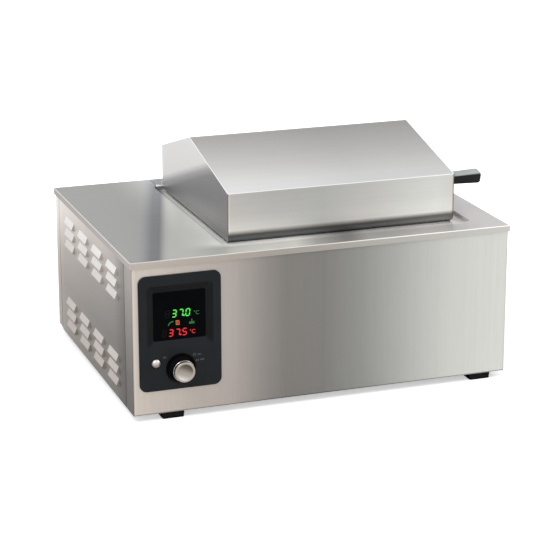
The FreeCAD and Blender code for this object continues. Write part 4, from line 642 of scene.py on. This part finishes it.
def lit(name, color):
    """A lit segment: even light with the slightest unevenness across it."""
    s = Surface(name, (6, 6, 6), roughness=0.5)
    glow = s.noise(900, (1, 1, 1), 1.0, 0.5)
    s.link(s.times(s.plain(color), s.map(glow, 0.3, 0.7, 0.94, 1.06)), s.bsdf.inputs["Emission Color"])
    s.bsdf.inputs["Emission Strength"].default_value = 1.0
    return s.material


TYPE_SIZE = 1.38          # type size for a capital's height
TYPE_BOLD = 0.00002


def lettering(name, text, left, low, height, y, material):
    curve = bpy.data.curves.new(name, "FONT")
    curve.body = text
    curve.size = height * MM * TYPE_SIZE
    curve.offset = TYPE_BOLD
    words = bpy.data.objects.new(name, curve)
    bpy.context.scene.collection.objects.link(words)
    words.rotation_euler = (math.radians(90), 0, 0)
    words.location = (panel_x(left), y, panel_z(low))
    curve.materials.append(material)
    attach(words, "casing")


def circle(x, z, radius, way=1, sides=14):
    """Points round a circle that ends where it starts; way -1 goes round clockwise."""
    turns = [way * 2 * math.pi * i / sides for i in range(sides + 1)]
    return [(x + radius * math.cos(turn), z + radius * math.sin(turn)) for turn in turns]


def ring(x, z, radius, hollow=0.5):
    return circle(x, z, radius) + circle(x, z, radius * hollow, -1)


def stroke(points, thick):
    """Outlines of a line through points on the panel, in millimetres, one box for each stretch."""
    outlines = []
    for (x0, z0), (x1, z1) in zip(points, points[1:]):
        length = math.hypot(x1 - x0, z1 - z0)
        nx, nz = -(z1 - z0) / length * thick / 2, (x1 - x0) / length * thick / 2
        corners = [(x0 + nx, z0 + nz), (x0 - nx, z0 - nz), (x1 - nx, z1 - nz), (x1 + nx, z1 + nz)]
        outlines.append([(panel_x(x), panel_z(z)) for x, z in corners])
    return outlines


CURVE_SIGN = [(53.4, 128.9), (54.6, 131.2), (56.4, 133.0), (58.4, 134.0), (61.2, 134.5)]
COIL = [(0.3, 129.7), (-0.4, 131.4), (0.2, 133.0), (-0.2, 134.7)]      # one coil of the heater
COILS = (65.4, 67.5, 69.6)
WAVES = [(84.2, 131.3), (87.0, 130.3), (89.8, 131.3), (92.4, 130.6)]   # the water of the level


def heater_sign():
    bars = stroke([(64.2, 135.0), (69.4, 135.0)], 1.1) + stroke([(64.8, 129.2), (70.4, 129.2)], 1.0)
    for x in COILS:
        bars += stroke([(x + across, z) for across, z in COIL], 1.1)
    return bars


def level_sign():
    floor, mark = [(84.4, 129.1), (92.2, 129.1)], [(88.2, 131.0), (88.4, 135.4)]
    return stroke(WAVES, 1.4) + stroke(floor, 1.4) + stroke(mark, 1.3)


def show_signs(front, dim):
    """Small signs between the two rows: a rising curve, a heater and a water level."""
    flat_polygons("curve_sign", stroke(CURVE_SIGN, 1.5), front, dim)
    flat_polygons("heater_sign", heater_sign(), front, lit("lit_orange", (206, 98, 20)))
    flat_polygons("level_sign", level_sign(), front, dim)


def show_unit(name, place, front, material):
    """A degree sign and its letter."""
    left, low, height = place
    sign = ring(panel_x(left) + 0.9 * MM, panel_z(low) + (height - 1.0) * MM, 1.0 * MM)
    flat_polygons(name + "_sign", [sign], front, material)
    lettering(name, "C", left + 2.3, low, height, front, material)


def show_display():
    front = WINDOW_LO.y - ON_WINDOW
    green, red = lit("lit_green", (84, 246, 84)), lit("lit_red", (252, 18, 34))
    dim = lit("lit_dim_green", (24, 110, 38))
    faint = moulded("unlit_bars", even((22, 17, 16)), 0.4, shine=0.05)
    flat_polygons("green_figures", figures("37.0", GREEN_ROW), front, green)
    flat_polygons("red_figures", figures("37.5", RED_ROW), front, red)
    unlit = figures("8", GREEN_ROW, -1) + figures("8", RED_ROW, -1)
    flat_polygons("unlit_figures", unlit, front, faint)
    show_signs(front, dim)
    show_unit("green_unit", GREEN_UNIT, front, dim)
    show_unit("red_unit", RED_UNIT, front, red)


def show_prints():
    """The words and signs beside the button and the knob."""
    grey = moulded("print_grey", even((112, 116, 120)), 0.5, shine=0.1)
    face = BEZEL_LO.y - ON_BEZEL
    on_sign = [ring(panel_x(90.2), panel_z(83.4), 2.1 * MM, 0.72)]
    on_sign += stroke([(89.4, 81.4), (91.0, 81.4)], 0.7)
    off_sign = stroke([(92.0, 73.6), (93.6, 75.6), (95.2, 73.8), (96.8, 75.4)], 0.8)
    flat_polygons("on_sign", on_sign, face, grey)
    flat_polygons("off_sign", off_sign, face, grey)
    lettering("set_print", "SET", 43.9, 82.8, 2.3, face, grey)
    lettering("on_print", "ON", 94.6, 82.0, 2.4, face, grey)
    lettering("off_print", "OFF", 98.6, 73.9, 2.4, face, grey)


# Light, floor and camera

def soft_world():
    world = bpy.data.worlds.new("studio")
    bpy.context.scene.world = world
    world.use_nodes = True
    nodes, links = world.node_tree.nodes, world.node_tree.links
    background = nodes["Background"]
    rays = nodes.new("ShaderNodeLightPath")
    seen = nodes.new("ShaderNodeMath")
    seen.operation = "MAXIMUM"
    links.new(rays.outputs["Is Camera Ray"], seen.inputs[0])
    links.new(rays.outputs["Is Glossy Ray"], seen.inputs[1])
    through = nodes.new("ShaderNodeMath")
    through.operation = "MAXIMUM"
    links.new(seen.outputs[0], through.inputs[0])
    links.new(rays.outputs["Is Transmission Ray"], through.inputs[1])
    strength = nodes.new("ShaderNodeMapRange")
    strength.inputs["To Min"].default_value = AMBIENT
    strength.inputs["To Max"].default_value = 1.0
    links.new(through.outputs[0], strength.inputs["Value"])
    background.inputs["Color"].default_value = (1, 1, 1, 1)
    links.new(strength.outputs["Result"], background.inputs["Strength"])


def soft_lamp(name, place, size, power):
    light = bpy.data.lights.new(name, "AREA")
    light.shape = "DISK"
    light.size = size
    light.energy = power
    lamp = bpy.data.objects.new(name, light)
    bpy.context.scene.collection.objects.link(lamp)
    lamp.location = place
    lamp.rotation_euler = (Vector(LAMP_AIM) - Vector(place)).to_track_quat("-Z", "Y").to_euler()


def floor_paper():
    """White paper, to which the camera sees light added, so that only the object's shadow shows."""
    s = Surface("floor_paper", roughness=0.9)
    s.bsdf.inputs["Specular IOR Level"].default_value = 0.0
    grain = s.noise(30, (1, 1, 1), 2.0, 0.5)
    s.paint(s.times(s.plain(FLOOR_WHITE), s.map(grain, 0.3, 0.7, 0.995, 1.005)))
    rays = s.nodes.new("ShaderNodeLightPath")
    away = s.hypotenuse(s.along((1, 0, 0)), s.along((0, 1, 0)))
    added = s.map(away, FLOOR_NEAR, FLOOR_FAR, FLOOR_LIFT, 1.0)
    s.bsdf.inputs["Emission Color"].default_value = (1, 1, 1, 1)
    s.link(s.math("MULTIPLY", rays.outputs["Is Camera Ray"], added), s.bsdf.inputs["Emission Strength"])
    return s.material


def pale_floor():
    corners = [(-1, -1), (1, -1), (1, 1), (-1, 1)]
    mesh = bpy.data.meshes.new("floor")
    mesh.from_pydata([(x * FLOOR_HALF, y * FLOOR_HALF, 0) for x, y in corners], [], [(0, 1, 2, 3)])
    floor = bpy.data.objects.new("floor", mesh)
    bpy.context.scene.collection.objects.link(floor)
    mesh.materials.append(floor_paper())


def place_camera():
    turn, rise = math.radians(CAM_TURN), math.radians(CAM_RISE)
    back = Vector((math.sin(turn) * math.cos(rise), -math.cos(turn) * math.cos(rise), math.sin(rise)))
    data = bpy.data.cameras.new("camera")
    data.sensor_width = SENSOR
    data.lens = CAM_FOCAL_PX / IMAGE * SENSOR
    camera = bpy.data.objects.new("camera", data)
    bpy.context.scene.collection.objects.link(camera)
    camera.location = CAM_AIM + back * CAM_FAR
    camera.rotation_mode = "QUATERNION"
    camera.rotation_quaternion = (-back).to_track_quat("-Z", "Y")
    bpy.context.scene.camera = camera


front_sheet()
side_sheet()
deck_sheet()
lid_sheet()
gable_sheet()
inner_sheets()
dress_metal()
dress_plastic()
show_display()
show_prints()
soft_world()
pale_floor()
place_camera()
soft_lamp("key", (-1.6, -1.5, 2.4), 1.6, 34)
soft_lamp("fill", (2.2, -1.2, 1.8), 1.8, 18)
bpy.context.scene.view_settings.view_transform = "Standard"
